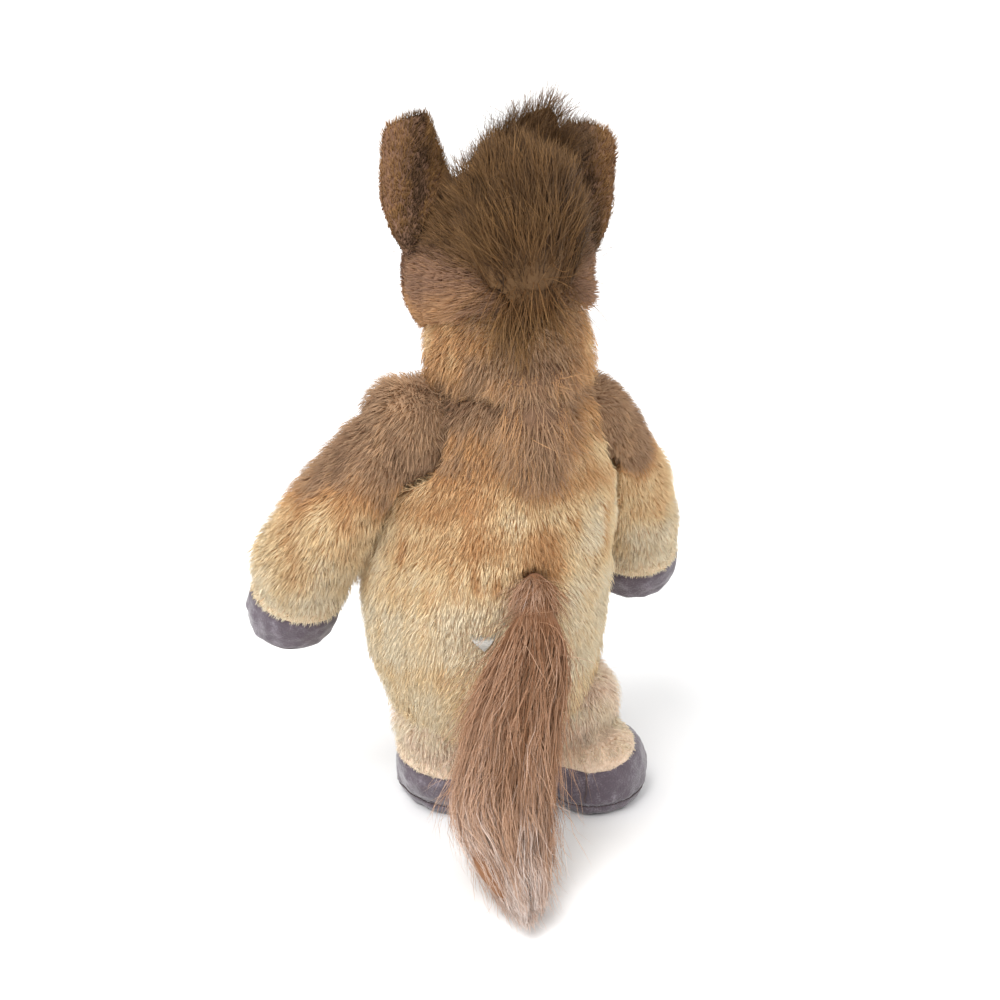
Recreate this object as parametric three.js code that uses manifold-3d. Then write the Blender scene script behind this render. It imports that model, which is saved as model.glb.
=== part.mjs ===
// A stuffed toy horse that stands up on its hind feet, with its front feet hanging at its sides.
// Each section is a sewn cover over its stuffing, and turns on its neighbour in a round seam.
// Millimetres, +Z up. The horse looks along -Y, its left side is +X, and the origin is under the middle of its box.
import * as THREE from "three";
import { mergeVertices } from "three/addons/utils/BufferGeometryUtils.js";
import Module from "manifold-3d";

const wasm = await Module();
wasm.setup();

// Fits shared by all sections.
const seamGap = 0.4; // between two pieces that are sewn together or rest on each other
const turnGap = 0.7; // between two pieces that turn on each other
const pileWall = 5; // knitted backing with the foot of its pile
const suedeWall = 3; // padded suede of the hooves
const cutReach = 400; // how far a cutting block reaches past what it cuts

// A place that is so far to the left, to the back and up from another.
const from = (place, away) => place.map((value, i) => value + away[i]);

// Torso: a pear, widest just above the hind legs. Rows are height, half width, half depth, shift to the back
// and shift to the left.
const torsoBase = 42;
const torsoTop = 252;
const torsoHalfWidth = 70;
const torsoHalfDepth = 66;
const neckTuck = 6; // how much of its round top the flat seam under the neck takes away
const neckSeamHeight = torsoTop - neckTuck;
const torsoShares = [
  [0, 0, 0, 0.1, 0.09],
  [0.015, 0.36, 0.3, 0.1, 0.09],
  [0.05, 0.64, 0.52, 0.08, 0.09],
  [0.11, 0.81, 0.72, 0.02, 0.09],
  [0.22, 0.91, 0.91, -0.07, 0.09],
  [0.36, 0.99, 1, -0.12, 0.09],
  [0.52, 0.98, 0.98, -0.11, 0.05],
  [0.68, 0.93, 0.91, -0.06, 0],
  [0.8, 0.84, 0.81, 0.01, -0.03],
  [0.9, 0.72, 0.69, 0.05, -0.04],
  [0.97, 0.61, 0.58, 0.06, -0.04],
  [1, 0, 0, 0.06, -0.04],
];

// Neck: a stuffed ball on the torso's flat top. The head turns and nods on it.
const neckPlace = [-3, 4];
const neckLift = 16; // the ball's centre over the flat seam
const neckCentre = [...neckPlace, neckSeamHeight + neckLift];
const neckRadius = 44;
const neckOpening = 30; // height of the neck's open rim over its centre

// Skull and muzzle, as one form that a seam behind the cheeks divides.
const skullFromNeck = [3, -12, 44];
const skullCentre = from(neckCentre, skullFromNeck);
const skullHalfWidth = 50;
const skullHalfDepth = 50;
const skullHalfHeight = 47;
const skullShares = [
  [0, 0, 0, 0, 0],
  [0.03, 0.5, 0.5, 0, 0],
  [0.12, 0.83, 0.82, 0, 0],
  [0.27, 0.97, 0.96, 0, 0],
  [0.48, 1, 1, 0, 0],
  [0.68, 0.93, 0.94, 0, 0],
  [0.84, 0.73, 0.75, 0, 0],
  [0.96, 0.37, 0.38, 0, 0],
  [1, 0, 0, 0, 0],
];
const muzzleFromSkull = [
  [0, 0, -6],
  [0, -44, -15],
  [0, -99, -33],
];
const muzzleRoute = muzzleFromSkull.map((away) => from(skullCentre, away));
const muzzleEnd = muzzleRoute.at(-1);
const muzzleHalfWidth = 33;
const muzzleHalfHeight = 36;
const muzzleShares = [
  [0, 0, 0],
  [0.04, 0.5, 0.5],
  [0.14, 0.88, 0.9],
  [0.3, 1, 1],
  [0.5, 0.87, 0.88],
  [0.7, 0.74, 0.73],
  [0.85, 0.76, 0.7],
  [0.95, 0.58, 0.53],
  [0.99, 0.27, 0.25],
  [1, 0, 0],
];
const cheekForward = 18; // from the skull's middle to the seam between the back of the head and the face
const cheekSeam = skullCentre[1] - cheekForward;
const headRoll = -5; // degrees that the head leans to the horse's right

// Ears: a fur back cupped round a plain lining. Rows are height, half width and half thickness.
const earLength = 78;
const earHalfWidth = 23;
const earHalfThickness = 5.5;
const earCup = 10; // how far the edges come forward of the middle
const earFromSkull = [35, 8, 8];
const earTurn = 18; // degrees that each ear's hollow looks outwards
const earLeans = { left: [17, 2], right: [14, 14] }; // degrees outwards and forwards
const earSink = 10; // how far the ear starts inside the round of the skull
const liningThickness = 2;
const liningHalfWidth = 18;
const liningLength = 66;
const liningReach = 40; // half thickness of the form that sets the lining's outline
const earShares = [
  [0, 0, 0],
  [0.03, 0.5, 0.5],
  [0.14, 0.84, 0.95],
  [0.32, 0.98, 1],
  [0.5, 1, 0.95],
  [0.72, 0.88, 0.85],
  [0.88, 0.75, 0.75],
  [0.97, 0.6, 0.5],
  [1, 0, 0],
];

// Eyes: a dome, its shank through the cover and a washer that grips the shank inside the stuffing.
const eyeRadius = 7.5;
const eyeRise = 6;
const eyeFromSkull = [29.5, -45, -3];
const eyeAim = [0.84, -0.42, 0.34];
const shankRadius = 2.4;
const shankLength = 13;
const washerRadius = 8;
const washerThickness = 1.6;
const washerDepth = 8; // from the eye's seat to the washer

// Stitched nostrils and mouth.
const threadRise = 1.2;
const nostrilRadius = 4.2;
const nostrilOut = 12;
const nostrilUp = 11; // over the end of the muzzle
const mouthHalfWidth = 14;
const mouthDown = 11; // under the end of the muzzle
const mouthBand = 2; // height of the stitched line
const mouthLength = 14; // from the end of the muzzle to the ends of the line

// Mane: plain solids under the long hair of the crown, the forelock, the nape and the withers.
const crestFromSkull = [-1, 24, 14];
const crestCentre = from(skullCentre, crestFromSkull);
const crestHalf = [34, 38, 46];
const forelockFromSkull = [
  [-6, 10, 32],
  [-13, 6, 56],
  [-24, 2, 86],
];
const forelockHalfWidth = 27;
const forelockHalfDepth = 14;
const forelockShares = [
  [0, 0, 0],
  [0.06, 0.5, 0.6],
  [0.25, 1, 1],
  [0.55, 0.95, 0.85],
  [0.8, 0.62, 0.5],
  [0.95, 0.24, 0.22],
  [1, 0, 0],
];
const napeHalf = [23, 14, 13];
const napeSink = 6; // how far the middle of the nape's hair lies inside the neck's round
const withersLeft = -2;
const withersSink = 26; // inside the torso's greatest depth
const withersDrop = 20; // under the flat seam of the neck
const withersCentre = [withersLeft, torsoHalfDepth - withersSink, neckSeamHeight - withersDrop];
const withersHalf = [21, 21, 30];

// Arms: the way from the shoulder to the end of the hoof in the middle of each arm, outwards first.
const shoulderOut = 48;
const shoulderBack = 2;
const shoulderDrop = 33; // under the top of the torso
const shoulder = [shoulderOut, shoulderBack, torsoTop - shoulderDrop];
const armsFromShoulder = {
  left: [
    [0, 0, 0],
    [26, -12, -31],
    [45, -27, -63],
    [56, -41, -95],
    [58, -52, -127],
  ],
  right: [
    [0, 0, 0],
    [25, -12, -31],
    [41, -29, -62],
    [50, -44, -93],
    [52, -56, -124],
  ],
};
const shoulderRadius = 26;
const armRadius = 26;
const armShares = [
  [0, 0, 0],
  [0.01, 0.8, 0.8],
  [0.06, 0.95, 0.95],
  [0.2, 0.97, 0.97],
  [0.45, 0.97, 0.97],
  [0.65, 1, 1],
  [0.82, 1, 1],
  [0.9, 0.97, 0.95],
  [0.96, 0.78, 0.74],
  [0.99, 0.42, 0.4],
  [1, 0, 0],
];
const cuffPlaceShare = 0.8; // along the arm, where its fur ends and the hoof starts
const armPadPlaceShare = 0.955; // and where the hoof's own end panel starts

// Legs: each hip is a round seam under the torso, and the leg ends in a hoof like a boot.
const hipInset = 12; // how far the hip's middle is over the lowest of the torso
const hipHeight = torsoBase + hipInset;
const hipRadius = 29;
const legRadius = 29;
const legFoot = 10; // height of the leg's lower end, inside the hoof
const legSides = {
  left: { hip: [31, -2], ankle: [28, -5], foot: [24, -17], toeOut: 4 },
  right: { hip: [-35, 3], ankle: [-47, 14], foot: [-54, 9], toeOut: -28 },
};
const legShares = [
  [0, 0, 0],
  [0.015, 0.8, 0.8],
  [0.08, 0.97, 0.97],
  [0.3, 1, 1],
  [0.6, 1, 1],
  [0.85, 0.95, 0.95],
  [0.96, 0.7, 0.7],
  [1, 0, 0],
];
const hoofHalfWidth = 30;
const hoofHalfLength = 40;
const hoofTop = 46;
const hoofBelow = 4; // how much of the round underside the flat sole takes away
const hoofShares = [
  [0, 0, 0, 0, 0],
  [0.02, 0.5, 0.5, 0, 0],
  [0.08, 0.8, 0.82, 0, 0],
  [0.2, 0.95, 0.96, 0, 0],
  [0.38, 1, 1, 0, 0],
  [0.58, 0.95, 0.93, 0.05, 0],
  [0.76, 0.83, 0.76, 0.16, 0],
  [0.9, 0.62, 0.52, 0.26, 0],
  [0.98, 0.28, 0.24, 0.32, 0],
  [1, 0, 0, 0.32, 0],
];
const hoofLineHeel = 24; // height of the fur's edge over the heel
const hoofLineToe = 42; // and over the toe
const soleRise = 7; // height of the seam between the sole and the hoof's wall

// Tail: a short dock in the torso, and long hair that reaches the floor and trails on it.
const dockLeft = 1;
const dockInset = 10; // inside the torso's greatest depth
const dockRise = 105; // over the lowest of the torso
const dockCentre = [dockLeft, torsoHalfDepth - dockInset, torsoBase + dockRise];
const dockRadius = 8;
const tailFromDock = [
  [0, 6, 1],
  [9, 23, -23],
  [23, 31, -63],
  [31, 37, -97],
];
const tailOnFloor = [
  [36, 108, 23],
  [39, 134, 13.5],
  [42, 156, 12.5],
];
const tailRoute = [...tailFromDock.map((away) => from(dockCentre, away)), ...tailOnFloor];
const tailHalfWidth = 26;
const tailHalfDepth = 16;
const tailShares = [
  [0, 0, 0],
  [0.03, 0.36, 0.45],
  [0.12, 0.74, 0.72],
  [0.26, 0.98, 0.94],
  [0.45, 1, 1],
  [0.7, 0.92, 0.95],
  [0.88, 0.68, 0.76],
  [0.97, 0.36, 0.42],
  [1, 0, 0],
];

// Care label: a bare white ribbon sewn beside the tail.
const labelHalf = [6.5, 0.5, 8.5];
const labelLeft = 32;
const labelDrop = 30; // under the middle of the dock
const labelDepthShare = 0.812; // of the torso's half depth, where its back curves away beside the tail
const labelCentre = [labelLeft, torsoHalfDepth * labelDepthShare, dockCentre[2] - labelDrop];
const labelTurn = -22; // degrees about the upright
const labelSwing = 10; // degrees out of plumb, along the back

// Degrees from the plumb line within which a leg stays clear of the torso, to the front and to the back: the leg's
// own swing and the slope of the torso's underside.
const legClearFront = 47;
const legClearBack = 60;
const legClearInside = 30; // and from the hip's axis, on the side of the other leg

// Faces of a section's outer form, of its stuffing, and of what is small. Each pair is steps along and sides round.
const torsoFaces = [12, 22];
const headFaces = [9, 18];
const limbFaces = [8, 14];
const tailFaces = [12, 14];
const hairFaces = [8, 12];
const earFaces = [8, 12];
const insideFaces = [6, 12];
const seamSides = 16; // round the seam of each limb
const neckSides = 20; // and of the neck
const insideSides = 10;
const smallSides = 10;
const eyeSides = 16;
const domeSteps = 5; // from the rim of an eye to its top

const finish = {
  tanFur: new THREE.MeshStandardMaterial({ color: 0xc9a273, roughness: 0.95 }),
  brownFur: new THREE.MeshStandardMaterial({ color: 0x7d5a3e, roughness: 0.95 }),
  longHair: new THREE.MeshStandardMaterial({ color: 0x6b4a2f, roughness: 0.85 }),
  hoofSuede: new THREE.MeshStandardMaterial({ color: 0x6a5a5a, roughness: 0.9 }),
  lining: new THREE.MeshStandardMaterial({ color: 0xc39a72, roughness: 0.9 }),
  stuffing: new THREE.MeshStandardMaterial({ color: 0xf4f1ea, roughness: 1 }),
  eye: new THREE.MeshStandardMaterial({ color: 0x0f0b0a, roughness: 0.08 }),
  washer: new THREE.MeshStandardMaterial({ color: 0xe8e8e6, roughness: 0.5 }),
  thread: new THREE.MeshStandardMaterial({ color: 0x2c211d, roughness: 0.8 }),
  label: new THREE.MeshStandardMaterial({ color: 0xf3f2ee, roughness: 0.7 }),
};

const { degToRad, clamp } = THREE.MathUtils;
const point = (place) => new THREE.Vector3(...place);
const up = new THREE.Vector3(0, 0, 1);
const sideways = new THREE.Vector3(1, 0, 0);
const backwards = new THREE.Vector3(0, 1, 0);

// A closed three.js geometry as a solid for cutting and joining.
function solid(geometry) {
  const bare = geometry.clone();
  bare.deleteAttribute("normal");
  bare.deleteAttribute("uv");
  const merged = mergeVertices(bare, 1e-4);
  return new wasm.Manifold(
    new wasm.Mesh({
      numProp: 3,
      vertProperties: new Float32Array(merged.getAttribute("position").array),
      triVerts: new Uint32Array(merged.index.array),
    }),
  );
}

function meshOf(name, made, material) {
  const { vertProperties, triVerts } = made.getMesh();
  const geometry = new THREE.BufferGeometry();
  geometry.setAttribute("position", new THREE.BufferAttribute(vertProperties, 3));
  geometry.setIndex(new THREE.BufferAttribute(triVerts, 1));
  const mesh = new THREE.Mesh(geometry, material);
  mesh.name = name;
  return mesh;
}

const moved = (form, matrix) => form.transform(matrix.elements);

function turnAbout(centre, axis, degrees) {
  const there = point(centre);
  return new THREE.Matrix4()
    .makeTranslation(there)
    .multiply(new THREE.Matrix4().makeRotationAxis(axis, degToRad(degrees)))
    .multiply(new THREE.Matrix4().makeTranslation(there.negate()));
}

function oval(centre, half, sides = seamSides) {
  const geometry = new THREE.SphereGeometry(1, sides, sides / 2);
  geometry.rotateX(Math.PI / 2);
  geometry.scale(...half);
  geometry.translate(...centre);
  return solid(geometry);
}

// A ball whose rings run round the axis that it turns on.
function ball(centre, radius, axis, sides = seamSides) {
  const geometry = new THREE.SphereGeometry(radius, sides, sides / 2);
  geometry.applyQuaternion(new THREE.Quaternion().setFromUnitVectors(backwards, axis));
  geometry.translate(...centre);
  return solid(geometry);
}

// A cylinder from one place along a direction.
function rod(place, along, radius, length, sides = smallSides) {
  const geometry = new THREE.CylinderGeometry(radius, radius, length, sides);
  geometry.translate(0, length / 2, 0);
  geometry.applyQuaternion(new THREE.Quaternion().setFromUnitVectors(backwards, along));
  geometry.translate(...place.toArray());
  return solid(geometry);
}

function block(low, high) {
  const size = high.map((value, i) => value - low[i]);
  const geometry = new THREE.BoxGeometry(...size);
  geometry.translate(...low.map((value, i) => value + size[i] / 2));
  return solid(geometry);
}

// The parts of a form in front of a plane and behind it, half a seam away on each side.
function parted(form, place, normal) {
  const at = place.dot(normal);
  return {
    ahead: form.trimByPlane(normal.toArray(), at + seamGap / 2),
    behind: form.trimByPlane(normal.clone().negate().toArray(), -at + seamGap / 2),
  };
}

// A closed sleeve of unit rings. place sets each corner from its step along the sleeve and its spot on the ring.
function sleeve(spans, sides, place) {
  const profile = [];
  for (let step = 0; step <= spans; step += 1) {
    profile.push(new THREE.Vector2(step === 0 || step === spans ? 0 : 1, step));
  }
  const geometry = new THREE.LatheGeometry(profile, sides);
  const corners = geometry.getAttribute("position");
  for (let i = 0; i < corners.count; i += 1) {
    const at = place(corners.getY(i) / spans, corners.getX(i), -corners.getZ(i));
    corners.setXYZ(i, at.x, at.y, at.z);
  }
  return solid(geometry);
}

// A smooth line through one column of a table of shares, against the table's first column.
function shareLine(shares, column) {
  return new THREE.SplineCurve(shares.map((row) => new THREE.Vector2(row[column], row[0])));
}

// An upright stuffed form from rows of shares, with every side moved out by the same distance.
function upright(shares, size, by, [spans, sides]) {
  const [width, depth, back, left] = [1, 2, 3, 4].map((column) => shareLine(shares, column));
  const height = size.top - size.base + by * 2;
  return sleeve(spans, sides, (t, across, deep) => {
    const x = across * width.getPoint(t).x * (size.halfWidth + by);
    const y = deep * depth.getPoint(t).x * (size.halfDepth + by);
    return new THREE.Vector3(
      size.centre[0] + x + left.getPoint(t).x * size.halfWidth,
      size.centre[1] + y + back.getPoint(t).x * size.halfDepth,
      size.base - by + width.getPoint(t).y * height,
    );
  });
}

// A form along a route from rows of the way along, the half width and the half depth, moved out by a distance.
function alongRoute(route, shares, halfWidth, halfDepth, by, [spans, sides]) {
  const curve = new THREE.CatmullRomCurve3(route.map(point), false, "centripetal");
  const length = curve.getLength();
  const [width, depth] = [1, 2].map((column) => shareLine(shares, column));
  return sleeve(spans, sides, (t, across, deep) => {
    const way = width.getPoint(t).y * (length + by * 2) - by;
    const onCurve = clamp(way / length, 0, 1);
    const tangent = curve.getTangentAt(onCurve);
    const side = sideways.clone().addScaledVector(tangent, -tangent.x).normalize();
    const out = new THREE.Vector3().crossVectors(tangent, side);
    return curve
      .getPointAt(onCurve)
      .addScaledVector(tangent, way - onCurve * length)
      .addScaledVector(side, across * width.getPoint(t).x * (halfWidth + by))
      .addScaledVector(out, deep * depth.getPoint(t).x * (halfDepth + by));
  });
}

// Torso.
const torsoSize = {
  centre: [0, 0],
  base: torsoBase,
  top: torsoTop,
  halfWidth: torsoHalfWidth,
  halfDepth: torsoHalfDepth,
};
const downwards = up.clone().negate();
const torsoForm = (by, faces = torsoFaces) => upright(torsoShares, torsoSize, by, faces);
const hipOf = (side) => [...legSides[side].hip, hipHeight];
const armOutwards = point(armsFromShoulder.left.at(-1)).setZ(0).normalize();
const armAxis = new THREE.Vector3().crossVectors(armOutwards, up);
const mirrored = (form) => form.mirror(sideways.toArray());
const shoulderBall = (by, sides) => ball(shoulder, shoulderRadius + by, armAxis, sides);
const hipBall = (side, by, sides) => ball(hipOf(side), hipRadius + by, sideways, sides);
const dockBall = (by) => ball(dockCentre, dockRadius + by, backwards, smallSides);
const sockets = wasm.Manifold.union([
  shoulderBall(turnGap),
  mirrored(shoulderBall(turnGap)),
  hipBall("left", turnGap),
  hipBall("right", turnGap),
  dockBall(turnGap),
]);
const torsoWhole = torsoForm(0).trimByPlane(downwards.toArray(), -neckSeamHeight).subtract(sockets);
const torsoCover = torsoWhole.subtract(torsoForm(-pileWall, insideFaces));
const torsoFilling = torsoForm(-pileWall - seamGap, insideFaces)
  .trimByPlane(downwards.toArray(), -neckSeamHeight)
  .subtract(sockets);

// Neck.
const neckFloor = neckSeamHeight + turnGap;
const neckBall = (by, lift = 0) =>
  ball(neckCentre, neckRadius + by, sideways, neckSides).trimByPlane(up.toArray(), neckFloor + lift);
const neckSocket = ball(neckCentre, neckRadius + turnGap, sideways, neckSides);
const neckCover = neckBall(0)
  .subtract(neckBall(-pileWall, pileWall))
  .trimByPlane(downwards.toArray(), -neckCentre[2] - neckOpening);
const neckFilling = neckBall(-pileWall - seamGap, pileWall + seamGap);

// Head: the skull and the muzzle are one form, rolled to the horse's right.
const skullSize = {
  centre: skullCentre,
  base: skullCentre[2] - skullHalfHeight,
  top: skullCentre[2] + skullHalfHeight,
  halfWidth: skullHalfWidth,
  halfDepth: skullHalfDepth,
};
const roll = turnAbout(skullCentre, backwards, headRoll);
const rolled = (form) => moved(form, roll);
const skullForm = (by, faces) => upright(skullShares, skullSize, by, faces);
const muzzleForm = (by, faces) =>
  alongRoute(muzzleRoute, muzzleShares, muzzleHalfWidth, muzzleHalfHeight, by, faces);
const headForm = (by, faces = headFaces) => skullForm(by, faces).add(muzzleForm(by, faces));
const headRoom = headForm(seamGap);

// One eye on each side. grow gives the room that the cover and the stuffing leave for it.
function eyeParts(sign, grow = 0) {
  const aim = point(eyeAim).normalize();
  aim.x *= sign;
  const inward = aim.clone().negate();
  const seat = point(from(skullCentre, eyeFromSkull));
  seat.x *= sign;
  const profile = [
    new THREE.Vector2(0, -shankLength - grow),
    new THREE.Vector2(shankRadius + grow, -shankLength - grow),
    new THREE.Vector2(shankRadius + grow, -grow),
    new THREE.Vector2(eyeRadius + grow, -grow),
  ];
  for (let step = 1; step <= domeSteps; step += 1) {
    const angle = (Math.PI / 2) * (step / domeSteps);
    profile.push(new THREE.Vector2(Math.cos(angle) * (eyeRadius + grow), Math.sin(angle) * (eyeRise + grow)));
  }
  const dome = new THREE.LatheGeometry(profile, eyeSides);
  dome.applyQuaternion(new THREE.Quaternion().setFromUnitVectors(backwards, aim));
  dome.translate(...seat.toArray());
  const washerSeat = seat.clone().addScaledVector(inward, washerDepth - grow);
  return {
    eye: solid(dome),
    washer: rod(washerSeat, inward, washerRadius + grow, washerThickness + grow * 2),
  };
}

function eyeSet(sign) {
  const { eye, washer } = eyeParts(sign);
  const room = eyeParts(sign, seamGap);
  return { eye, washer: washer.subtract(room.eye), room: room.eye.add(room.washer) };
}

const eyes = { left: eyeSet(1), right: eyeSet(-1) };

// A thin patch that follows the muzzle where a cutter crosses it.
function stitched(cutter) {
  return muzzleForm(seamGap + threadRise, headFaces).subtract(headRoom).intersect(cutter);
}

function nostril(sign) {
  const inFront = new THREE.Vector3(nostrilOut * sign, -cutReach, muzzleEnd[2] + nostrilUp);
  return stitched(rod(inFront, backwards, nostrilRadius, cutReach + muzzleRoute[1][1]));
}

const mouthHeight = muzzleEnd[2] - mouthDown;
const mouth = stitched(
  block(
    [-mouthHalfWidth, -cutReach, mouthHeight],
    [mouthHalfWidth, muzzleEnd[1] + mouthLength, mouthHeight + mouthBand],
  ),
);

// Ears, drawn upright and then leaned, turned and set on the skull.
function earForm(side, size) {
  const sign = side === "left" ? 1 : -1;
  const [outwards, forwards] = earLeans[side];
  const [x, y, z] = from(skullCentre, earFromSkull);
  const place = new THREE.Matrix4()
    .makeTranslation(x * sign, y, z)
    .multiply(new THREE.Matrix4().makeRotationY(degToRad(outwards) * sign))
    .multiply(new THREE.Matrix4().makeRotationX(degToRad(forwards)))
    .multiply(new THREE.Matrix4().makeRotationZ(degToRad(earTurn) * sign));
  const [width, depth] = [1, 2].map((column) => shareLine(earShares, column));
  return sleeve(...earFaces, (t, across, deep) => {
    const out = across * width.getPoint(t).x * size.halfWidth;
    const cup = earCup * (out / earHalfWidth) ** 2;
    const forward = -deep * depth.getPoint(t).x * size.halfThickness + cup + size.forward;
    return new THREE.Vector3(out, -forward, size.start + width.getPoint(t).y * size.length).applyMatrix4(place);
  });
}

function earSet(side) {
  const whole = (by, forward = 0) =>
    earForm(side, {
      length: earLength + by * 2,
      halfWidth: earHalfWidth + by,
      halfThickness: earHalfThickness + by,
      forward,
      start: -earSink - by,
    });
  // The lining covers the ear's hollow side, inside its rim.
  const outline = earForm(side, {
    length: liningLength,
    halfWidth: liningHalfWidth,
    halfThickness: liningReach,
    forward: 0,
    start: (earLength - liningLength) / 2 - earSink,
  });
  return {
    room: whole(seamGap),
    outer: whole(0).subtract(headRoom),
    lining: whole(seamGap, liningThickness).subtract(whole(seamGap)).intersect(outline).subtract(headRoom),
  };
}

const ears = { left: earSet("left"), right: earSet("right") };
const earRooms = ears.left.room.add(ears.right.room);

// Covers and stuffing of the head.
const faceSeam = new THREE.Vector3(0, cheekSeam, 0);
const eyeRooms = eyes.left.room.add(eyes.right.room);
const headShell = rolled(headForm(0).subtract(headForm(-pileWall, insideFaces)).subtract(eyeRooms)).subtract(
  neckSocket,
);
const { ahead: headCover, behind: muzzleCover } = parted(headShell, faceSeam, backwards);
const headFilling = rolled(headForm(-pileWall - seamGap, insideFaces).subtract(eyeRooms)).subtract(neckSocket);

// Hair of the crown, the forelock, the nape and the withers.
const crest = oval(crestCentre, crestHalf).subtract(headRoom).subtract(earRooms);
const crestRoom = oval(
  crestCentre,
  crestHalf.map((half) => half + seamGap),
);
const forelockRoute = forelockFromSkull.map((away) => from(skullCentre, away));
const forelockForm = alongRoute(forelockRoute, forelockShares, forelockHalfWidth, forelockHalfDepth, 0, hairFaces);
const forelock = forelockForm.subtract(headRoom).subtract(earRooms).subtract(crestRoom);
const napeCentre = [neckCentre[0], neckCentre[1] + neckRadius - napeSink, neckFloor + napeHalf[2]];
const headMane = rolled(crest).subtract(neckSocket);
const nape = oval(napeCentre, napeHalf, smallSides)
  .subtract(ball(neckCentre, neckRadius + seamGap, sideways, neckSides))
  .trimByPlane(up.toArray(), neckFloor);
const withers = oval(withersCentre, withersHalf, smallSides)
  .subtract(torsoForm(seamGap))
  .trimByPlane(downwards.toArray(), -neckSeamHeight);

// An arm: one form with its stuffing, parted into the furred sleeve, the hoof and the hoof's end panel. It is made
// on the left, and onItsSide takes it to its own side.
function armSet(side, onItsSide) {
  const route = armsFromShoulder[side].map((away) => from(shoulder, away));
  const curve = new THREE.CatmullRomCurve3(route.map(point), false, "centripetal");
  const form = (by, faces, sides) =>
    alongRoute(route, armShares, armRadius, armRadius, by, faces)
      .subtract(onItsSide(torsoForm(turnGap - by)))
      .add(shoulderBall(by, sides));
  const inside = (by) => form(by, insideFaces, insideSides);
  const cut = (share) => [curve.getPointAt(share), curve.getTangentAt(share)];
  const whole = form(0, limbFaces, seamSides);
  const { behind: furred, ahead: bare } = parted(whole, ...cut(cuffPlaceShare));
  const { behind: wall, ahead: pad } = parted(bare, ...cut(armPadPlaceShare));
  return {
    cover: onItsSide(furred.subtract(inside(-pileWall))),
    hoof: onItsSide(wall.subtract(inside(-suedeWall))),
    pad: onItsSide(pad.subtract(inside(-suedeWall))),
    filling: onItsSide(inside(-pileWall - seamGap)),
  };
}

// A leg: the same, with a hoof like a boot that stands flat on its sole.
function legSet(side, inwards) {
  const { ankle, foot, toeOut } = legSides[side];
  const hip = hipOf(side);
  const hoofSize = { centre: [0, 0], base: -hoofBelow, top: hoofTop, halfWidth: hoofHalfWidth, halfDepth: hoofHalfLength };
  const toFoot = new THREE.Matrix4()
    .makeTranslation(foot[0], foot[1], 0)
    .multiply(new THREE.Matrix4().makeRotationZ(degToRad(toeOut)));
  const hoofForm = (by, faces) => moved(upright(hoofShares, hoofSize, by, faces), toFoot);
  // What of the leg lies so many degrees forward of plumb or further is taken away, or backward where negative.
  const clear = (form, degrees, by) => {
    const normal = backwards.clone().applyAxisAngle(sideways, -degToRad(degrees));
    if (degrees < 0) normal.negate();
    return form.trimByPlane(normal.toArray(), point(hip).dot(normal) - by);
  };
  const legForm = (by, faces) => {
    const sleeved = alongRoute([hip, [...ankle, legFoot]], legShares, legRadius, legRadius, by, faces).subtract(
      rod(point(hip), inwards, legClearInside - by, cutReach, seamSides),
    );
    return clear(clear(sleeved, legClearFront, by), -legClearBack, by);
  };
  const form = (by, faces, sides) => legForm(by, faces).add(hipBall(side, by, sides)).add(hoofForm(by, faces));
  const whole = form(0, limbFaces, seamSides).trimByPlane(up.toArray(), 0);
  const heel = new THREE.Vector3(0, hoofHalfLength, hoofLineHeel);
  const toe = new THREE.Vector3(0, -hoofHalfLength, hoofLineToe);
  const across = new THREE.Vector3().crossVectors(toe.sub(heel), sideways).normalize();
  const edgeNormal = across.applyAxisAngle(up, degToRad(toeOut));
  const edge = heel.applyMatrix4(toFoot);
  if (edgeNormal.z < 0) edgeNormal.negate();
  const { ahead: furred, behind: bare } = parted(whole, edge, edgeNormal);
  const { ahead: wall, behind: sole } = parted(bare, new THREE.Vector3(0, 0, soleRise), up);
  const inside = (by) => form(by, insideFaces, insideSides).trimByPlane(up.toArray(), -by);
  return {
    cover: furred.subtract(inside(-pileWall)),
    hoof: wall.subtract(inside(-suedeWall)),
    sole: sole.subtract(inside(-suedeWall)),
    filling: inside(-pileWall - seamGap),
  };
}

// Tail.
const tailHair = alongRoute(tailRoute, tailShares, tailHalfWidth, tailHalfDepth, 0, tailFaces)
  .subtract(torsoForm(turnGap))
  .subtract(dockBall(turnGap))
  .trimByPlane(up.toArray(), seamGap);

// Care label.
const labelAt = new THREE.Matrix4()
  .makeTranslation(...labelCentre)
  .multiply(new THREE.Matrix4().makeRotationZ(degToRad(labelTurn)))
  .multiply(new THREE.Matrix4().makeRotationY(degToRad(labelSwing)));
const labelRibbon = block(
  labelHalf.map((half) => -half),
  labelHalf,
);
const label = moved(labelRibbon, labelAt).subtract(torsoForm(seamGap));

const group = new THREE.Group();
const add = (name, made, material) => group.add(meshOf(name, made, material));

add("torso_cover", torsoCover, finish.tanFur);
add("torso_filling", torsoFilling, finish.stuffing);
add("neck_cover", neckCover, finish.tanFur);
add("neck_filling", neckFilling, finish.stuffing);
add("head_cover", headCover, finish.brownFur);
add("muzzle_cover", muzzleCover, finish.brownFur);
add("head_filling", headFilling, finish.stuffing);
add("head_mane", headMane, finish.longHair);
add("forelock", rolled(forelock), finish.longHair);
add("neck_mane", nape, finish.longHair);
add("back_mane", withers, finish.longHair);
add("mouth_stitch", rolled(mouth), finish.thread);
add("tail_dock", dockBall(0), finish.brownFur);
add("tail_hair", tailHair, finish.longHair);
add("care_label", label, finish.label);

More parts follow.
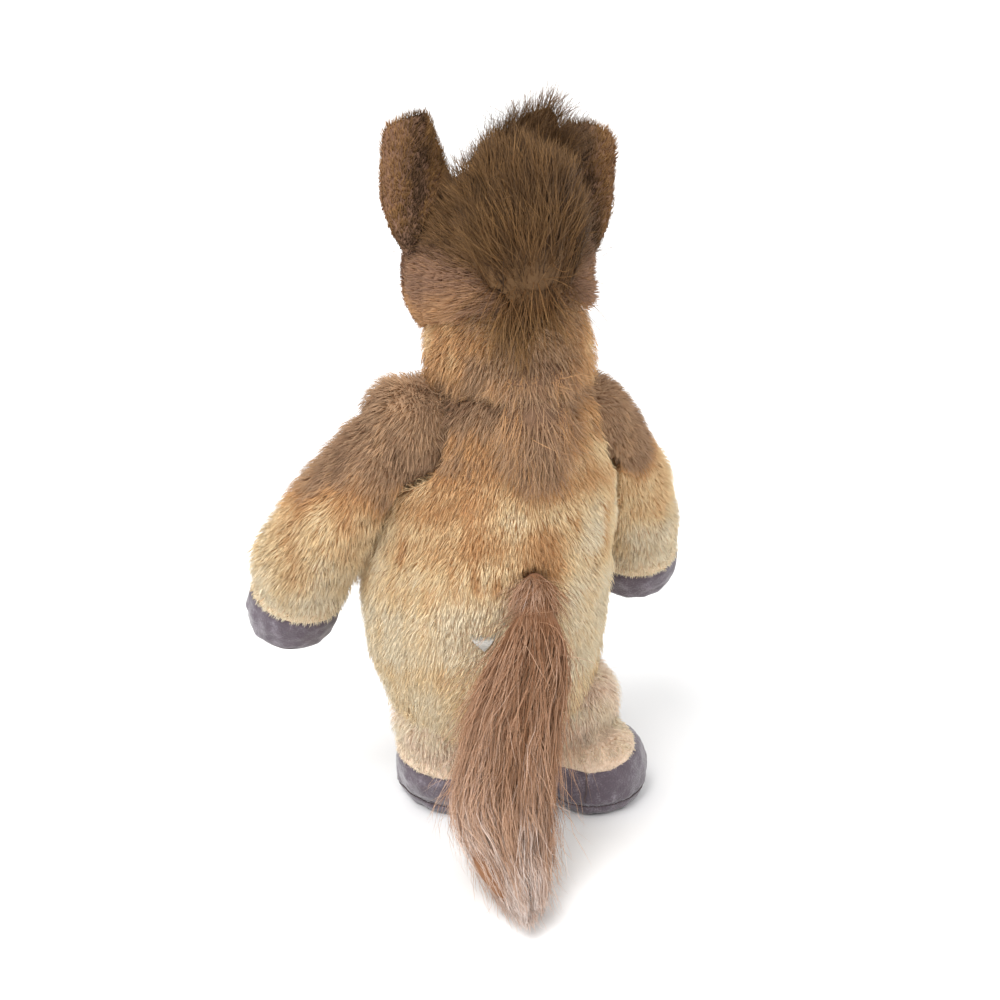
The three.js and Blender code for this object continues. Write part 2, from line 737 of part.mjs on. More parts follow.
for (const [side, sign] of [
  ["left", 1],
  ["right", -1],
]) {
  add(`${side}_ear_outer`, rolled(ears[side].outer), finish.brownFur);
  add(`${side}_ear_lining`, rolled(ears[side].lining), finish.lining);
  add(`${side}_eye`, rolled(eyes[side].eye), finish.eye);
  add(`${side}_eye_washer`, rolled(eyes[side].washer), finish.washer);
  add(`${side}_nostril`, rolled(nostril(sign)), finish.thread);
  const arm = armSet(side, sign > 0 ? (form) => form : mirrored);
  add(`${side}_arm_cover`, arm.cover, finish.tanFur);
  add(`${side}_arm_hoof`, arm.hoof, finish.hoofSuede);
  add(`${side}_arm_pad`, arm.pad, finish.hoofSuede);
  add(`${side}_arm_filling`, arm.filling, finish.stuffing);
  const leg = legSet(side, sideways.clone().multiplyScalar(-sign));
  add(`${side}_leg_cover`, leg.cover, finish.tanFur);
  add(`${side}_leg_hoof`, leg.hoof, finish.hoofSuede);
  add(`${side}_leg_sole`, leg.sole, finish.hoofSuede);
  add(`${side}_leg_filling`, leg.filling, finish.stuffing);
}

// The origin goes under the middle of the box that holds everything.
const box = new THREE.Box3().setFromObject(group);
group.position.set(-(box.min.x + box.max.x) / 2, -(box.min.y + box.max.y) / 2, -box.min.z);

export default group;
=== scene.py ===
# A stuffed toy horse: sewn skins over stuffing, combed plush fur, a long mane and tail, suede hooves and
# its stage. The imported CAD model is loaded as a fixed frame, and each piece rides on one of its bodies.
import math

import bmesh
import bpy
import numpy as np
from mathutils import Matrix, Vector
from mathutils.bvhtree import BVHTree
from mathutils.kdtree import KDTree


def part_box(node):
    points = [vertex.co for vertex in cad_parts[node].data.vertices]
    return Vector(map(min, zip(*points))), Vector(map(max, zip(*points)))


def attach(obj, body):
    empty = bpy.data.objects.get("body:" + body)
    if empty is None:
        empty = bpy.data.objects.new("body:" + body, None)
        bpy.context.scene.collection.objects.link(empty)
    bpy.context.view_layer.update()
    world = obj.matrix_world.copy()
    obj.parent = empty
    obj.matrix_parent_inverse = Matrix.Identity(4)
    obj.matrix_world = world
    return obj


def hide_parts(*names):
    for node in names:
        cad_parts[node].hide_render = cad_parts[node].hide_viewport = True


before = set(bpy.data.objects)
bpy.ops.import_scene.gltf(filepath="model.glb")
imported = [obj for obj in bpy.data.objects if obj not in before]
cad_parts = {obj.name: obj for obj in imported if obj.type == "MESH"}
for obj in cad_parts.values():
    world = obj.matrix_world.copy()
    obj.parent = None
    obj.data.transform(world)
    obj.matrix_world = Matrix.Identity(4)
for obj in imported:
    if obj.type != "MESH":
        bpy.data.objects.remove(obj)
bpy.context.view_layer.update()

bl_info = {
    "name": "Plush Horse",
    "version": (1, 0, 0),
    "blender": (4, 5, 0),
    "location": "View3D > Sidebar > Plush Horse",
    "description": "Dresses the frame of a stuffed toy horse with its fur, hair, hooves and stitching",
    "category": "Object",
}

MM = 0.001
UP = np.array([0.0, 0.0, 1.0])
SIDES = ("left", "right")

shapes = {}  # finished skins and forms, by name
beds = {}  # search trees of the skins, by body


def middle_of(node):
    """The middle of a CAD node's box."""
    low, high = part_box(node)
    return np.array((low + high) / 2)


# Places in the frame, taken from the CAD nodes
SPINE_X = middle_of("neck_cover")[0]
CREST_X = middle_of("head_mane")[0]
DOCK = middle_of("tail_dock")
CREST_LOW, CREST_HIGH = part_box("head_mane")
WHORL = np.array([CREST_X, CREST_HIGH.y, CREST_LOW.z + 12 * MM])  # hair parts here, up and down
NAPE = WHORL - UP * 26 * MM  # the mane fans out from here

# Names of the materials that more than one step uses
BODY_BACKING = "plush backing, dyed with its pile"
LEG_BACKING = "leg backing, pale with its pile"
HEAD_BACKING = "head backing, dyed with its pile"
BODY_PLUSH = "long body plush, brown to cream"
SUEDE = "brushed suede, a dark matt hoof"
HOOF_THREAD = "hoof thread, twisted and dark"

# Each limb: its end panel, how tight it is stuffed, how far its outer side and its root stand out (mm),
# and the length of its pile as a share of the body's
LIMBS = {
    "left_arm": ("pad", 0.75, 4.0, 4.2, 1.15),
    "left_leg": ("sole", 0.8, 1.0, 0.0, 0.95),
    "right_arm": ("pad", 0.75, 0.0, 0.0, 0.9),
    "right_leg": ("sole", 0.8, 4.5, 0.0, 0.95),
}

# The middle of the tail, from the dock down to the floor and back along it, in mm from the dock's middle
TAIL_ROUTE = (
    (0, 6, 1), (9, 23, -23), (23, 31, -63), (31, 37, -97),
    (35, 52, -124), (38, 78, -133.5), (41, 100, -134.5),
)

# The camera stands behind the toy, a little round to its left and above it.
CAMERA_TURN, CAMERA_LIFT = math.radians(160), math.radians(18)
CAMERA_DISTANCE = 1.1
CAMERA_TARGET = Vector((SPINE_X + 3 * MM, DOCK[1] - 56 * MM, 176 * MM))
LENS_MM, SENSOR_MM = 73.7, 36


# Colours and materials

def linear(hex_colour):
    """An sRGB hex colour as linear red, green and blue, with full alpha."""
    channels = [((hex_colour >> shift) & 255) / 255 for shift in (16, 8, 0)]
    return [c / 12.92 if c <= 0.04045 else ((c + 0.055) / 1.055) ** 2.4 for c in channels] + [1.0]


def shaded(colour, factor):
    """A dye made darker, or lighter above 1."""
    return [channel * factor for channel in colour]


def between(first, second, share):
    """A dye that is so far from the first towards the second."""
    return [a * (1 - share) + b * share for a, b in zip(first, second)]


def set_inputs(node, inputs):
    """Sets each input of a node, or links it where its value is a socket or another node."""
    for name, value in inputs.items():
        socket = node.inputs[name]  # by its name, or by its number where names repeat
        if isinstance(value, bpy.types.Node):
            value = value.outputs[0]
        if isinstance(value, bpy.types.NodeSocket):
            node.id_data.links.new(value, socket)
        else:
            socket.default_value = value


def add_node(tree, kind, inputs=None, stops=(), **settings):
    """Adds a node with its settings, its inputs and, on a ramp, its stops of place and colour."""
    node = tree.nodes.new(kind)
    for name, value in settings.items():
        setattr(node, name, value)
    set_inputs(node, inputs or {})
    if stops:
        marks = node.color_ramp.elements
        while len(marks) < len(stops):
            marks.new(0.5)
        for mark, (place, colour) in zip(marks, stops):
            mark.position = place
            mark.color = (*colour[:3], 1)
    return node


def new_material(name):
    """A material with its output and its shader, which waits for its inputs."""
    material = bpy.data.materials.new(name)
    material.use_nodes = True
    tree = material.node_tree
    tree.nodes.clear()
    shader = add_node(tree, "ShaderNodeBsdfPrincipled")
    add_node(tree, "ShaderNodeOutputMaterial", {"Surface": shader})
    return material, tree, shader


def repeats(size_mm):
    """The scale at which a pattern's spots have that size."""
    return 1 / (size_mm * MM)


def fibre_material(name, stops, painted_root_shade, rough=0.75, sheen=0.3):
    """Crimped polyester fibre, spun and dyed, each strand in its own shade. Roots are darker than tips,
    painted shade that shows how deep the pile is, and the sheen is the soft light that its fibres scatter."""
    material, tree, shader = new_material(name)
    where = add_node(tree, "ShaderNodeUVMap", uv_map="OFBake")
    parts = add_node(tree, "ShaderNodeSeparateXYZ", {"Vector": where})
    dye = add_node(tree, "ShaderNodeValToRGB", {"Fac": parts.outputs["X"]}, stops)
    # painted shade: each strand darkens towards its root, in place of the shadow deep in the pile
    fade = [(0.0, linear(painted_root_shade)), (0.75, linear(0xFFFFFF))]
    depth = add_node(tree, "ShaderNodeValToRGB", {"Fac": parts.outputs["Y"]}, fade)
    both = {"Fac": 1.0, "Color1": dye, "Color2": depth}
    colour = add_node(tree, "ShaderNodeMixRGB", both, blend_type="MULTIPLY")
    set_inputs(shader, {
        "Base Color": colour, "Roughness": rough, "Specular IOR Level": 0.25,
        "Sheen Weight": sheen, "Sheen Roughness": 0.5, "Sheen Tint": colour,
    })
    return material


def backing_material(name, stops, low, high):
    """Knitted polyester cloth that a pile is tufted into, dyed with it from low to high (mm). It is matt and
    finely grained, so that it looks like more of the same fur where it shows between the fibres."""
    material, tree, shader = new_material(name)
    place = add_node(tree, "ShaderNodeTexCoord").outputs["Object"]
    height = add_node(tree, "ShaderNodeSeparateXYZ", {"Vector": place}).outputs["Z"]
    span = {"Value": height, "From Min": low * MM, "From Max": high * MM}
    share = add_node(tree, "ShaderNodeMapRange", span)
    dye = add_node(tree, "ShaderNodeValToRGB", {"Fac": share}, stops)
    # The loops of the knit are about 0.5 mm wide, and are drawn at 1.2 mm to show at all.
    grain = add_node(tree, "ShaderNodeTexNoise", {"Vector": place, "Scale": repeats(1.2), "Detail": 3})
    both = {"Fac": grain, "Color1": dye, "Color2": linear(0xD2C6B8)}
    base = add_node(tree, "ShaderNodeMixRGB", both, blend_type="MULTIPLY")
    relief = add_node(tree, "ShaderNodeBump", {"Height": grain, "Distance": 0.5 * MM})
    set_inputs(shader, {"Base Color": base, "Roughness": 0.95, "Normal": relief})
    return material


def hair_backing(name, colour):
    """The cloth that long hair is sewn on, dyed like it, so that no pale gap shows between the strands."""
    return backing_material(name, [(0.0, colour), (1.0, shaded(colour, 0.7))], low=0, high=400)


def suede_material(name, stops):
    """Suede cloth, whose face is raised by brushing. Its short nap is matt with a soft sheen, lies in small
    clouds of light and dark, and is lighter where it is rubbed."""
    material, tree, shader = new_material(name)
    place = add_node(tree, "ShaderNodeTexCoord").outputs["Object"]
    # The nap itself is finer than 0.3 mm, and is drawn at 0.9 mm to show at all.
    clouds, nap, dents = (
        add_node(tree, "ShaderNodeTexNoise", {"Vector": place, "Scale": repeats(size), "Detail": detail})
        for size, detail in ((7, 4), (0.9, 4), (3.2, 2))
    )
    both = add_node(tree, "ShaderNodeMath", {0: clouds, 1: nap}, operation="ADD")
    level = add_node(tree, "ShaderNodeMapRange", {"Value": both, "From Min": 0.65, "From Max": 1.35})
    colour = add_node(tree, "ShaderNodeValToRGB", {"Fac": level}, stops)
    low = add_node(tree, "ShaderNodeBump", {"Height": dents, "Distance": 0.6 * MM, "Strength": 0.6})
    fine = {"Height": nap, "Distance": 0.5 * MM, "Strength": 0.9, "Normal": low}
    relief = add_node(tree, "ShaderNodeBump", fine)
    set_inputs(shader, {
        "Base Color": colour, "Roughness": 0.92, "Normal": relief,
        "Sheen Weight": 0.5, "Sheen Roughness": 0.45,
    })
    return material


def thread_material(name, dark, light, twist_mm, depth_mm, rough, sheen=0.0):
    """Polyester thread, spun and twisted. Painted light and shade of its twist take turns along it, as light
    and dark spots, and its relief breaks up the shine. A real twist is about 0.3 mm long, and is drawn
    coarser to show."""
    material, tree, shader = new_material(name)
    place = add_node(tree, "ShaderNodeTexCoord").outputs["Object"]
    twist = add_node(tree, "ShaderNodeTexNoise", {"Vector": place, "Scale": repeats(twist_mm), "Detail": 3})
    # painted light and shade: the two colours stand for the lit and shaded sides of the twisted strands
    both = {"Fac": twist, "Color1": linear(dark), "Color2": linear(light)}
    shade = add_node(tree, "ShaderNodeMixRGB", both)
    relief = add_node(tree, "ShaderNodeBump", {"Height": twist, "Distance": depth_mm * MM})
    set_inputs(shader, {"Base Color": shade, "Roughness": rough, "Sheen Weight": sheen, "Normal": relief})
    return material


def eye_material():
    """Acrylic, moulded and polished. It is black with a trace of brown in its depth, and its clear coat gives
    one sharp light in each eye, a little softer towards the rim."""
    material, tree, shader = new_material("eye plastic, a black gloss with a brown depth")
    place = add_node(tree, "ShaderNodeTexCoord").outputs["Object"]
    specks = add_node(tree, "ShaderNodeTexNoise", {"Vector": place, "Scale": repeats(2), "Detail": 3})
    iris = {"Fac": specks, "Color1": linear(0x120C09), "Color2": linear(0x2A1810)}
    rim = add_node(tree, "ShaderNodeLayerWeight", {"Blend": 0.35}).outputs["Facing"]
    set_inputs(shader, {
        "Base Color": add_node(tree, "ShaderNodeMixRGB", iris),
        "Roughness": add_node(tree, "ShaderNodeMapRange", {"Value": rim, "To Min": 0.05, "To Max": 0.2}),
        "Coat Weight": 1.0, "Coat Roughness": 0.04,
    })
    return material


def ribbon_material():
    """Polyester ribbon, woven as satin. Its long floating threads make it smooth and softly shining, with a
    faint line between one thread and the next. They are about 0.1 mm wide, and are drawn about 0.35 mm wide,
    so that they show."""
    material, tree, shader = new_material("label ribbon, white satin weave")
    place = add_node(tree, "ShaderNodeTexCoord").outputs["Object"]
    bands = 20 / (2 * math.pi)  # a wave pattern has so many bands to the unit of its scale
    weave = add_node(
        tree, "ShaderNodeTexWave", {"Vector": place, "Scale": repeats(0.349) / bands, "Distortion": 0.4}
    ).outputs["Fac"]
    threads = {"Fac": weave, "Color1": linear(0xE6E3DC), "Color2": linear(0xF6F4EF)}
    shade = add_node(tree, "ShaderNodeMixRGB", threads)
    relief = add_node(tree, "ShaderNodeBump", {"Height": weave, "Distance": 0.1 * MM})
    set_inputs(shader, {"Base Color": shade, "Roughness": 0.4, "Sheen Weight": 0.5, "Normal": relief})
    return material


def paper_material():
    """Uncoated paper, rolled smooth: plain, pale and matt, so that it takes only the toy's soft shadow."""
    material, _, shader = new_material("floor paper, plain and pale")
    set_inputs(shader, {"Base Color": linear(0xF6F6F6), "Roughness": 0.9})
    return material


# Shapes from the CAD nodes

def new_object(name, mesh):
    """A mesh, light or camera as an object in the scene."""
    thing = bpy.data.objects.new(name, mesh)
    bpy.context.scene.collection.objects.link(thing)
    return thing


def mesh_from(work, name):
    """Ends a bmesh as a mesh of that name."""
    mesh = bpy.data.meshes.new(name)
    work.to_mesh(mesh)
    work.free()
    return mesh


def vectors(items, field):
    """One vector of each item, as an array."""
    flat = np.empty(len(items) * 3, np.float32)
    items.foreach_get(field, flat)
    return flat.reshape(-1, 3).astype(float)


def coordinates(mesh):
    """A mesh's corners."""
    return vectors(mesh.vertices, "co")


def corner_normals(mesh):
    """The smooth normal at each corner."""
    return vectors(mesh.vertex_normals, "vector")


def set_coordinates(mesh, points):
    """Moves a mesh's corners."""
    mesh.vertices.foreach_set("co", points.astype(np.float32).ravel())
    mesh.update()


def node_points(node):
    """The corners of a CAD node."""
    return coordinates(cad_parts[node].data)


def root_of(node):
    """The middle of a limb's cloth where it leaves the body, which is its upper end."""
    cloth = node_points(node)
    return cloth[cloth[:, 2] > np.percentile(cloth[:, 2], 85)].mean(0)


def search_tree(points, chosen=None):
    """A tree that finds the nearest of the points, or of the chosen ones."""
    numbers = range(len(points)) if chosen is None else chosen
    tree = KDTree(len(numbers))
    for number in numbers:
        tree.insert(points[number], int(number))
    tree.balance()
    return tree


def surface_of(thing):
    """A search tree of an object's surface."""
    return BVHTree.FromObject(thing, bpy.context.evaluated_depsgraph_get())


def at_points(value, points):
    """A value at each point, from one number or from a function of the points."""
    return value(points) if callable(value) else np.full(len(points), float(value))


def outermost(mesh):
    """Leaves only the island of the mesh with the largest box."""
    mesh.verts.ensure_lookup_table()
    seen, best, best_size = set(), [], -1.0
    for start in mesh.verts:
        if start.index in seen:
            continue
        island, edge = [], [start]
        seen.add(start.index)
        while edge:
            vertex = edge.pop()
            island.append(vertex)
            for link in vertex.link_edges:
                other = link.other_vert(vertex)
                if other.index not in seen:
                    seen.add(other.index)
                    edge.append(other)
        spots = np.array([v.co for v in island])
        size = float(np.linalg.norm(spots.max(0) - spots.min(0)))
        if size > best_size:
            best, best_size = island, size
    keep = set(best)
    bmesh.ops.delete(mesh, geom=[v for v in mesh.verts if v not in keep], context="VERTS")


def soft_form(name, nodes, voxel, rounds, inset=0.0, closing=0.6):
    """One smooth closed form over CAD nodes. Swelling and a voxel remesh close its gaps, rounds of smoothing
    wear off the facets, and its side moves in by the swelling and the inset (all in mm)."""
    start = bmesh.new()
    for node in nodes:
        start.from_mesh(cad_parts[node].data)
    bmesh.ops.remove_doubles(start, verts=start.verts, dist=0.01 * MM)
    mesh = mesh_from(start, name)
    thing = new_object(name, mesh)
    swell = thing.modifiers.new("swell", "DISPLACE")
    swell.strength, swell.mid_level = closing * MM, 0.0
    grid = thing.modifiers.new("grid", "REMESH")
    grid.mode, grid.voxel_size = "VOXEL", voxel * MM
    wear = thing.modifiers.new("wear", "SMOOTH")
    wear.factor, wear.iterations = 0.5, rounds
    depsgraph = bpy.context.evaluated_depsgraph_get()
    result = bpy.data.meshes.new_from_object(thing.evaluated_get(depsgraph))
    thing.modifiers.clear()
    thing.data = result
    bpy.data.meshes.remove(mesh)
    work = bmesh.new()
    work.from_mesh(result)
    outermost(work)
    work.to_mesh(result)
    work.free()
    points = coordinates(result)
    depth = at_points(inset, points) + closing
    set_coordinates(result, points - corner_normals(result) * depth[:, None] * MM)
    result.name = name
    result.shade_smooth()
    shapes[name] = thing
    return thing


def seam_plane(node, neighbour):
    """The plane of the seam between two CAD nodes, with its normal towards the neighbour."""
    here, there = node_points(node), node_points(neighbour)
    tree = search_tree(there)
    sewn = 0.9 * MM  # corners of the two nodes that are closer than this meet in the seam
    rim = np.array([spot for spot in here if tree.find(spot)[2] < sewn])
    middle = rim.mean(0)
    normal = np.linalg.svd(rim - middle)[2][2]
    if (there.mean(0) - middle) @ normal < 0:
        normal = -normal
    return middle, normal


def half_of(source, name, cuts):
    """The part of a form ahead of each cut (place, normal), closed where it was cut."""
    work = bmesh.new()
    work.from_mesh(source.data)
    for place, normal in cuts:
        geometry = work.verts[:] + work.edges[:] + work.faces[:]
        bmesh.ops.bisect_plane(work, geom=geometry, plane_co=place, plane_no=normal, clear_inner=True)
        bmesh.ops.holes_fill(work, edges=[edge for edge in work.edges if edge.is_boundary])
    mesh = mesh_from(work, name)
    mesh.shade_smooth()
    shapes[name] = new_object(name, mesh)
    return shapes[name]


def dress(thing, body, material, slot, *nodes):
    """Gives a piece its material, its body and the CAD nodes that it stands for."""
    thing.data.materials.clear()
    thing.data.materials.append(material)
    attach(thing, body)
    if nodes:
        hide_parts(*nodes)
    return thing


def bed_of(body, *things):
    """Keeps the search trees of a body's skins."""
    beds.setdefault(body, []).extend(surface_of(thing) for thing in things)


# Strands

def unit(ways):
    """Directions made one long."""
    return ways / np.maximum(np.linalg.norm(ways, axis=-1, keepdims=True), 1e-12)


def along_surface(direction, normals):
    """A direction with what points out of the surface taken away."""
    return unit(direction - normals * (direction * normals).sum(1, keepdims=True))


def square_to(way):
    """A direction at right angles to another."""
    return unit(np.cross(way, UP if abs(way[2]) < 0.9 else np.array([1.0, 0, 0])))


def waves(points, size_mm, seed, count=7):
    """Smooth noise between about -1 and 1, from waves with random directions."""
    rng = np.random.default_rng(seed)
    total = np.zeros(len(points))
    for _ in range(count):
        way = unit(rng.normal(size=3)) * 2 * math.pi / (size_mm * MM) * rng.uniform(0.6, 1.5)
        total += np.sin(points @ way + rng.uniform(0, 2 * math.pi))
    return total / math.sqrt(count)


def ramp(values, low, high):
    """0 below low, 1 above high, and smooth between."""
    share = np.clip((values - low) / (high - low), 0, 1)
    return share * share * (3 - 2 * share)


def streaks(points, size_mm, seed):
    """Waves drawn out up and down, the way that combed fur and hair lie."""
    return waves(points * [1, 1, 0.3], size_mm, seed)


def drift(points, size_mm, seed):
    """Waves in each of the three directions."""
    return np.stack([waves(points, size_mm, seed + axis) for axis in range(3)], axis=1)


def roots_on(thing, per_mm2, rng, keep=None):
    """Random places on a form with their normals, so many to the square millimetre, less those not kept."""
    mesh = thing.data
    mesh.calc_loop_triangles()
    corners = np.empty(len(mesh.loop_triangles) * 3, np.int32)
    mesh.loop_triangles.foreach_get("vertices", corners)
    corners = corners.reshape(-1, 3)
    points, normals = coordinates(mesh), corner_normals(mesh)
    a, b, c = (points[corners[:, i]] for i in range(3))
    area = np.linalg.norm(np.cross(b - a, c - a), axis=1) / 2
    count = int(area.sum() / MM**2 * per_mm2)
    chosen = rng.choice(len(area), count, p=area / area.sum())
    u, v = rng.random(count), rng.random(count)
    over = u + v > 1
    u[over], v[over] = 1 - u[over], 1 - v[over]
    share = np.stack([1 - u - v, u, v], axis=1)[:, :, None]
    places = (points[corners[chosen]] * share).sum(1)
    outwards = unit((normals[corners[chosen]] * share).sum(1))
    chosen = np.ones(count, bool) if keep is None else keep(places, outwards)
    return places[chosen], outwards[chosen]


def uncovered(points, outwards, body, clearance_mm):
    """Which places look out past the skins of the other bodies."""
    free = np.ones(len(points), bool)
    trees = [tree for other, skins in beds.items() if other != body for tree in skins]
    for tree in trees:
        for index in np.flatnonzero(free):
            hit = tree.find_nearest(points[index], 2.0 * MM)[0]
            if hit is None:
                hit = tree.ray_cast(points[index], outwards[index], clearance_mm * MM)[0]
            free[index] = hit is None
    return free


def tufted(tips, roots, group, pull, rng):
    """Moves each tip towards the tip of the nearest chosen strand, so that fibres stand in tufts."""
    leaders = rng.choice(len(roots), max(1, len(roots) // group), replace=False)
    tree = search_tree(roots, leaders)
    nearest = np.array([tree.find(spot)[1] for spot in roots])
    return tips + (tips[nearest] - tips) * pull


def strand_mesh(name, paths, widths, shades):
    """Closed three-sided strands along paths, an array by strand and step, with half widths (mm) by step.
    The map OFBake holds each strand's shade across and its length up."""
    count, steps = paths.shape[:2]
    rings = steps - 1
    ways = unit(np.diff(paths, axis=1))
    ways = np.concatenate([ways, ways[:, -1:]], axis=1)
    middle = paths[:, rings // 2]
    helper = unit(middle - middle.mean(0) + 1e-6)
    across = unit(np.cross(ways[:, :rings], helper[:, None, :]) + 1e-9)
    outwards = unit(np.cross(across, ways[:, :rings]))
    half = np.asarray(widths, float)[None, :rings, None] * MM
    centre = paths[:, :rings]
    ring = np.stack([centre + across * half, centre - across * half, centre + outwards * half], axis=2)
    points = np.concatenate([ring.reshape(count, rings * 3, 3), paths[:, rings:]], axis=1)
    size = rings * 3 + 1
    sides = [(2, 0), (1, 2), (0, 1)]
    quads = [
        (3 * r + i, 3 * r + j, 3 * r + 3 + j, 3 * r + 3 + i)
        for r in range(rings - 1)
        for i, j in sides
    ]
    ends = [(3 * (rings - 1) + i, 3 * (rings - 1) + j, size - 1) for i, j in sides] + [(2, 1, 0)]
    loops = np.array([corner for face in quads + ends for corner in face], np.int64)
    totals = np.array([4] * len(quads) + [3] * len(ends), np.int64)
    all_loops = (loops[None, :] + (np.arange(count) * size)[:, None]).ravel()
    all_totals = np.tile(totals, count)
    mesh = bpy.data.meshes.new(name)
    mesh.vertices.add(count * size)
    mesh.loops.add(len(all_loops))
    mesh.polygons.add(len(all_totals))
    mesh.vertices.foreach_set("co", points.reshape(-1).astype(np.float32))
    mesh.loops.foreach_set("vertex_index", all_loops.astype(np.int32))
    starts = np.concatenate([[0], np.cumsum(all_totals)[:-1]])
    mesh.polygons.foreach_set("loop_start", starts.astype(np.int32))
    mesh.update(calc_edges=True)
    along = np.concatenate([np.repeat(np.linspace(0.02, 0.98, steps)[:rings], 3), [0.98]])
    sideways = np.concatenate([np.tile([-0.008, 0.008, 0.0], rings), [0.0]])
    u = np.clip(np.asarray(shades)[:, None], 0.02, 0.98) + sideways[loops][None, :]
    v = np.broadcast_to(along[loops][None, :], u.shape)
    layer = mesh.uv_layers.new(name="OFBake")
    layer.data.foreach_set("uv", np.stack([u, v], axis=2).astype(np.float32).ravel())
    return mesh


def panels(name, paths, widths, shades, body, material, slot, most=16000):
    """Strands as one object or, where there are many, as several sewn panels side by side."""
    x, y = paths[:, 0, 0], paths[:, 0, 1]
    order = np.argsort(np.arctan2(x - x.mean(), y - y.mean()))
    pieces = math.ceil(len(order) / most)
    for number, chosen in enumerate(np.array_split(order, pieces)):
        label = name if pieces == 1 else f"{name}_{number + 1}"
        thing = new_object(label, strand_mesh(label, paths[chosen], widths, shades[chosen]))
        dress(thing, body, material, slot)


def pile(name, skin, body, comb, shade, material, slot, length_mm, per_mm2, seed,
         keep=None, lift=(44, 18), width_mm=0.24, group=7, pull=0.24, spread=0.16, clearance=7.0):
    """Plush pile on a skin: bent long fibres over straight short ones. comb gives each root's direction,
    shade its place on the dye ramp, and lift the slopes of a fibre's two halves in degrees. Real fibres are
    about 0.05 mm thick, and are drawn nearly 0.5 mm thick, so that they show."""
    rng = np.random.default_rng(seed)
    roots, outwards = roots_on(skin, per_mm2, rng, keep)
    chosen = uncovered(roots, outwards, body, clearance)
    roots, outwards = roots[chosen], outwards[chosen]
    way = along_surface(comb(roots, outwards) + rng.normal(size=roots.shape) * spread, outwards)
    length = at_points(length_mm, roots)
    length = (length * rng.uniform(0.75, 1.15, len(roots)))[:, None] * MM
    stand = (1 + 0.3 * waves(roots, 21, seed + 500))[:, None]
    first, second = (np.radians(angle) * stand for angle in lift)
    start = roots - outwards * 0.6 * MM
    middle = roots + (way * np.cos(first) + outwards * np.sin(first)) * length * 0.5
    tip = middle + (way * np.cos(second) + outwards * np.sin(second)) * length * 0.5
    tip = tufted(tip, roots, group, pull, rng)
    middle = tufted(middle, roots, group, pull * 0.35, np.random.default_rng(seed))
    tone = shade(roots, outwards) + rng.normal(size=len(roots)) * 0.05
    long = rng.random(len(roots)) < 0.25
    bent = np.stack([start, middle, tip], axis=1)[long]
    panels(name, bent, (width_mm, width_mm * 0.85), tone[long], body, material, slot)
    straight = np.stack([start, start + (tip - start) * 0.86], axis=1)[~long]
    under = f"{name}_undercoat"
    panels(under, straight, (width_mm * 1.25,), tone[~long], body, material, slot, most=40000)


def above(tree, points, heights):
    """The points put on a surface, and raised from it by their heights."""
    hits = [tree.find_nearest(spot) for spot in points]
    places, outwards = (np.array([hit[part] for hit in hits]) for part in (0, 1))
    return places + outwards * heights


def locks(name, form, body, flow, shade, material, count, length_mm, steps, seed,
          width_mm=0.2, hug=0.65, height=(-1.5, 2.0), wave_mm=1.6, group=10, pull=0.4, spread=0.18, keep=None,
          trim=None, stray=0.0, grain=0.1, curl_mm=26):
    """Long hair: strands that start all over a form, follow the flow along it and end in tufts. They lie
    within a range of heights (mm) as far as they hug the form, and a stray share of them stands off further.
    Real hair is under 0.1 mm thick, and is drawn 0.3 to 0.4 mm thick, so that it shows."""
    rng = np.random.default_rng(seed)
    area = sum(face.area for face in form.data.polygons) / MM**2
    roots, outwards = roots_on(form, count / area, rng, keep)
    tree = surface_of(form)
    loose = (rng.random(len(roots)) < stray)[:, None]
    rise = rng.uniform(*height, len(roots))[:, None] * MM * np.where(loose, 1.8, 1)
    length = at_points(length_mm, roots)
    step = (length * rng.uniform(0.5, 1.15, len(roots)))[:, None] * MM / steps
    aside = rng.normal(size=roots.shape) * spread * np.where(loose, 2.2, 1)
    lift = outwards * np.where(loose, 0.5, 0.12)
    spots = roots + outwards * np.minimum(rise, 0) - outwards * 0.5 * MM
    path = [spots]
    for number in range(steps):
        ahead = spots + unit(flow(spots) + aside + lift) * step
        pulled = np.where(loose, 0.4, 1) * hug * (1 - (number / steps) ** 2)
        sway = drift(ahead, curl_mm, seed) * wave_mm * MM * (number + 1) / steps**1.2
        spots = ahead + (above(tree, ahead, rise) - ahead) * pulled + sway
        path.append(spots)
    paths = np.stack(path, axis=1)
    moved = tufted(paths[:, -1], roots, group, pull, rng) - paths[:, -1]
    share = (np.arange(steps + 1) / steps) ** 1.6
    paths = paths + moved[:, None, :] * share[None, :, None]
    if trim is not None:
        paths = trim(paths)
    tone = shade(roots, outwards) + rng.normal(size=len(roots)) * grain
    widths = [width_mm * (1 - 0.75 * (i / steps) ** 1.5) for i in range(steps)]
    panels(name, paths, widths, tone, body, material, "long_hair", most=4400)


# Threads

def sew(name, paths, body, thread, *nodes, radius_mm, sides=6, taper=0.55):
    """Threads along paths as one piece: closed tubes, thinner at both ends."""
    work = bmesh.new()
    turns = [2 * math.pi * side / sides for side in range(sides)]
    for path in paths:
        path = np.asarray(path, float)
        ways = unit(np.gradient(path, axis=0))
        across = square_to(ways[0])
        rings = []
        for step, (place, way) in enumerate(zip(path, ways)):
            across = unit(across - way * (across @ way))
            up = np.cross(way, across)
            size = radius_mm * MM * (taper if step in (0, len(path) - 1) else 1)
            ring = [place + (across * math.cos(t) + up * math.sin(t)) * size for t in turns]
            rings.append([work.verts.new(spot) for spot in ring])
        for low, high in zip(rings, rings[1:]):
            for i in range(sides):
                j = (i + 1) % sides
                work.faces.new((low[i], low[j], high[j], high[i]))
        work.faces.new(rings[0][::-1])
        work.faces.new(rings[-1])
    bmesh.ops.recalc_face_normals(work, faces=work.faces[:])
    mesh = mesh_from(work, name)
    mesh.shade_smooth()
    dress(new_object(name, mesh), body, thread, "stitching", *nodes)


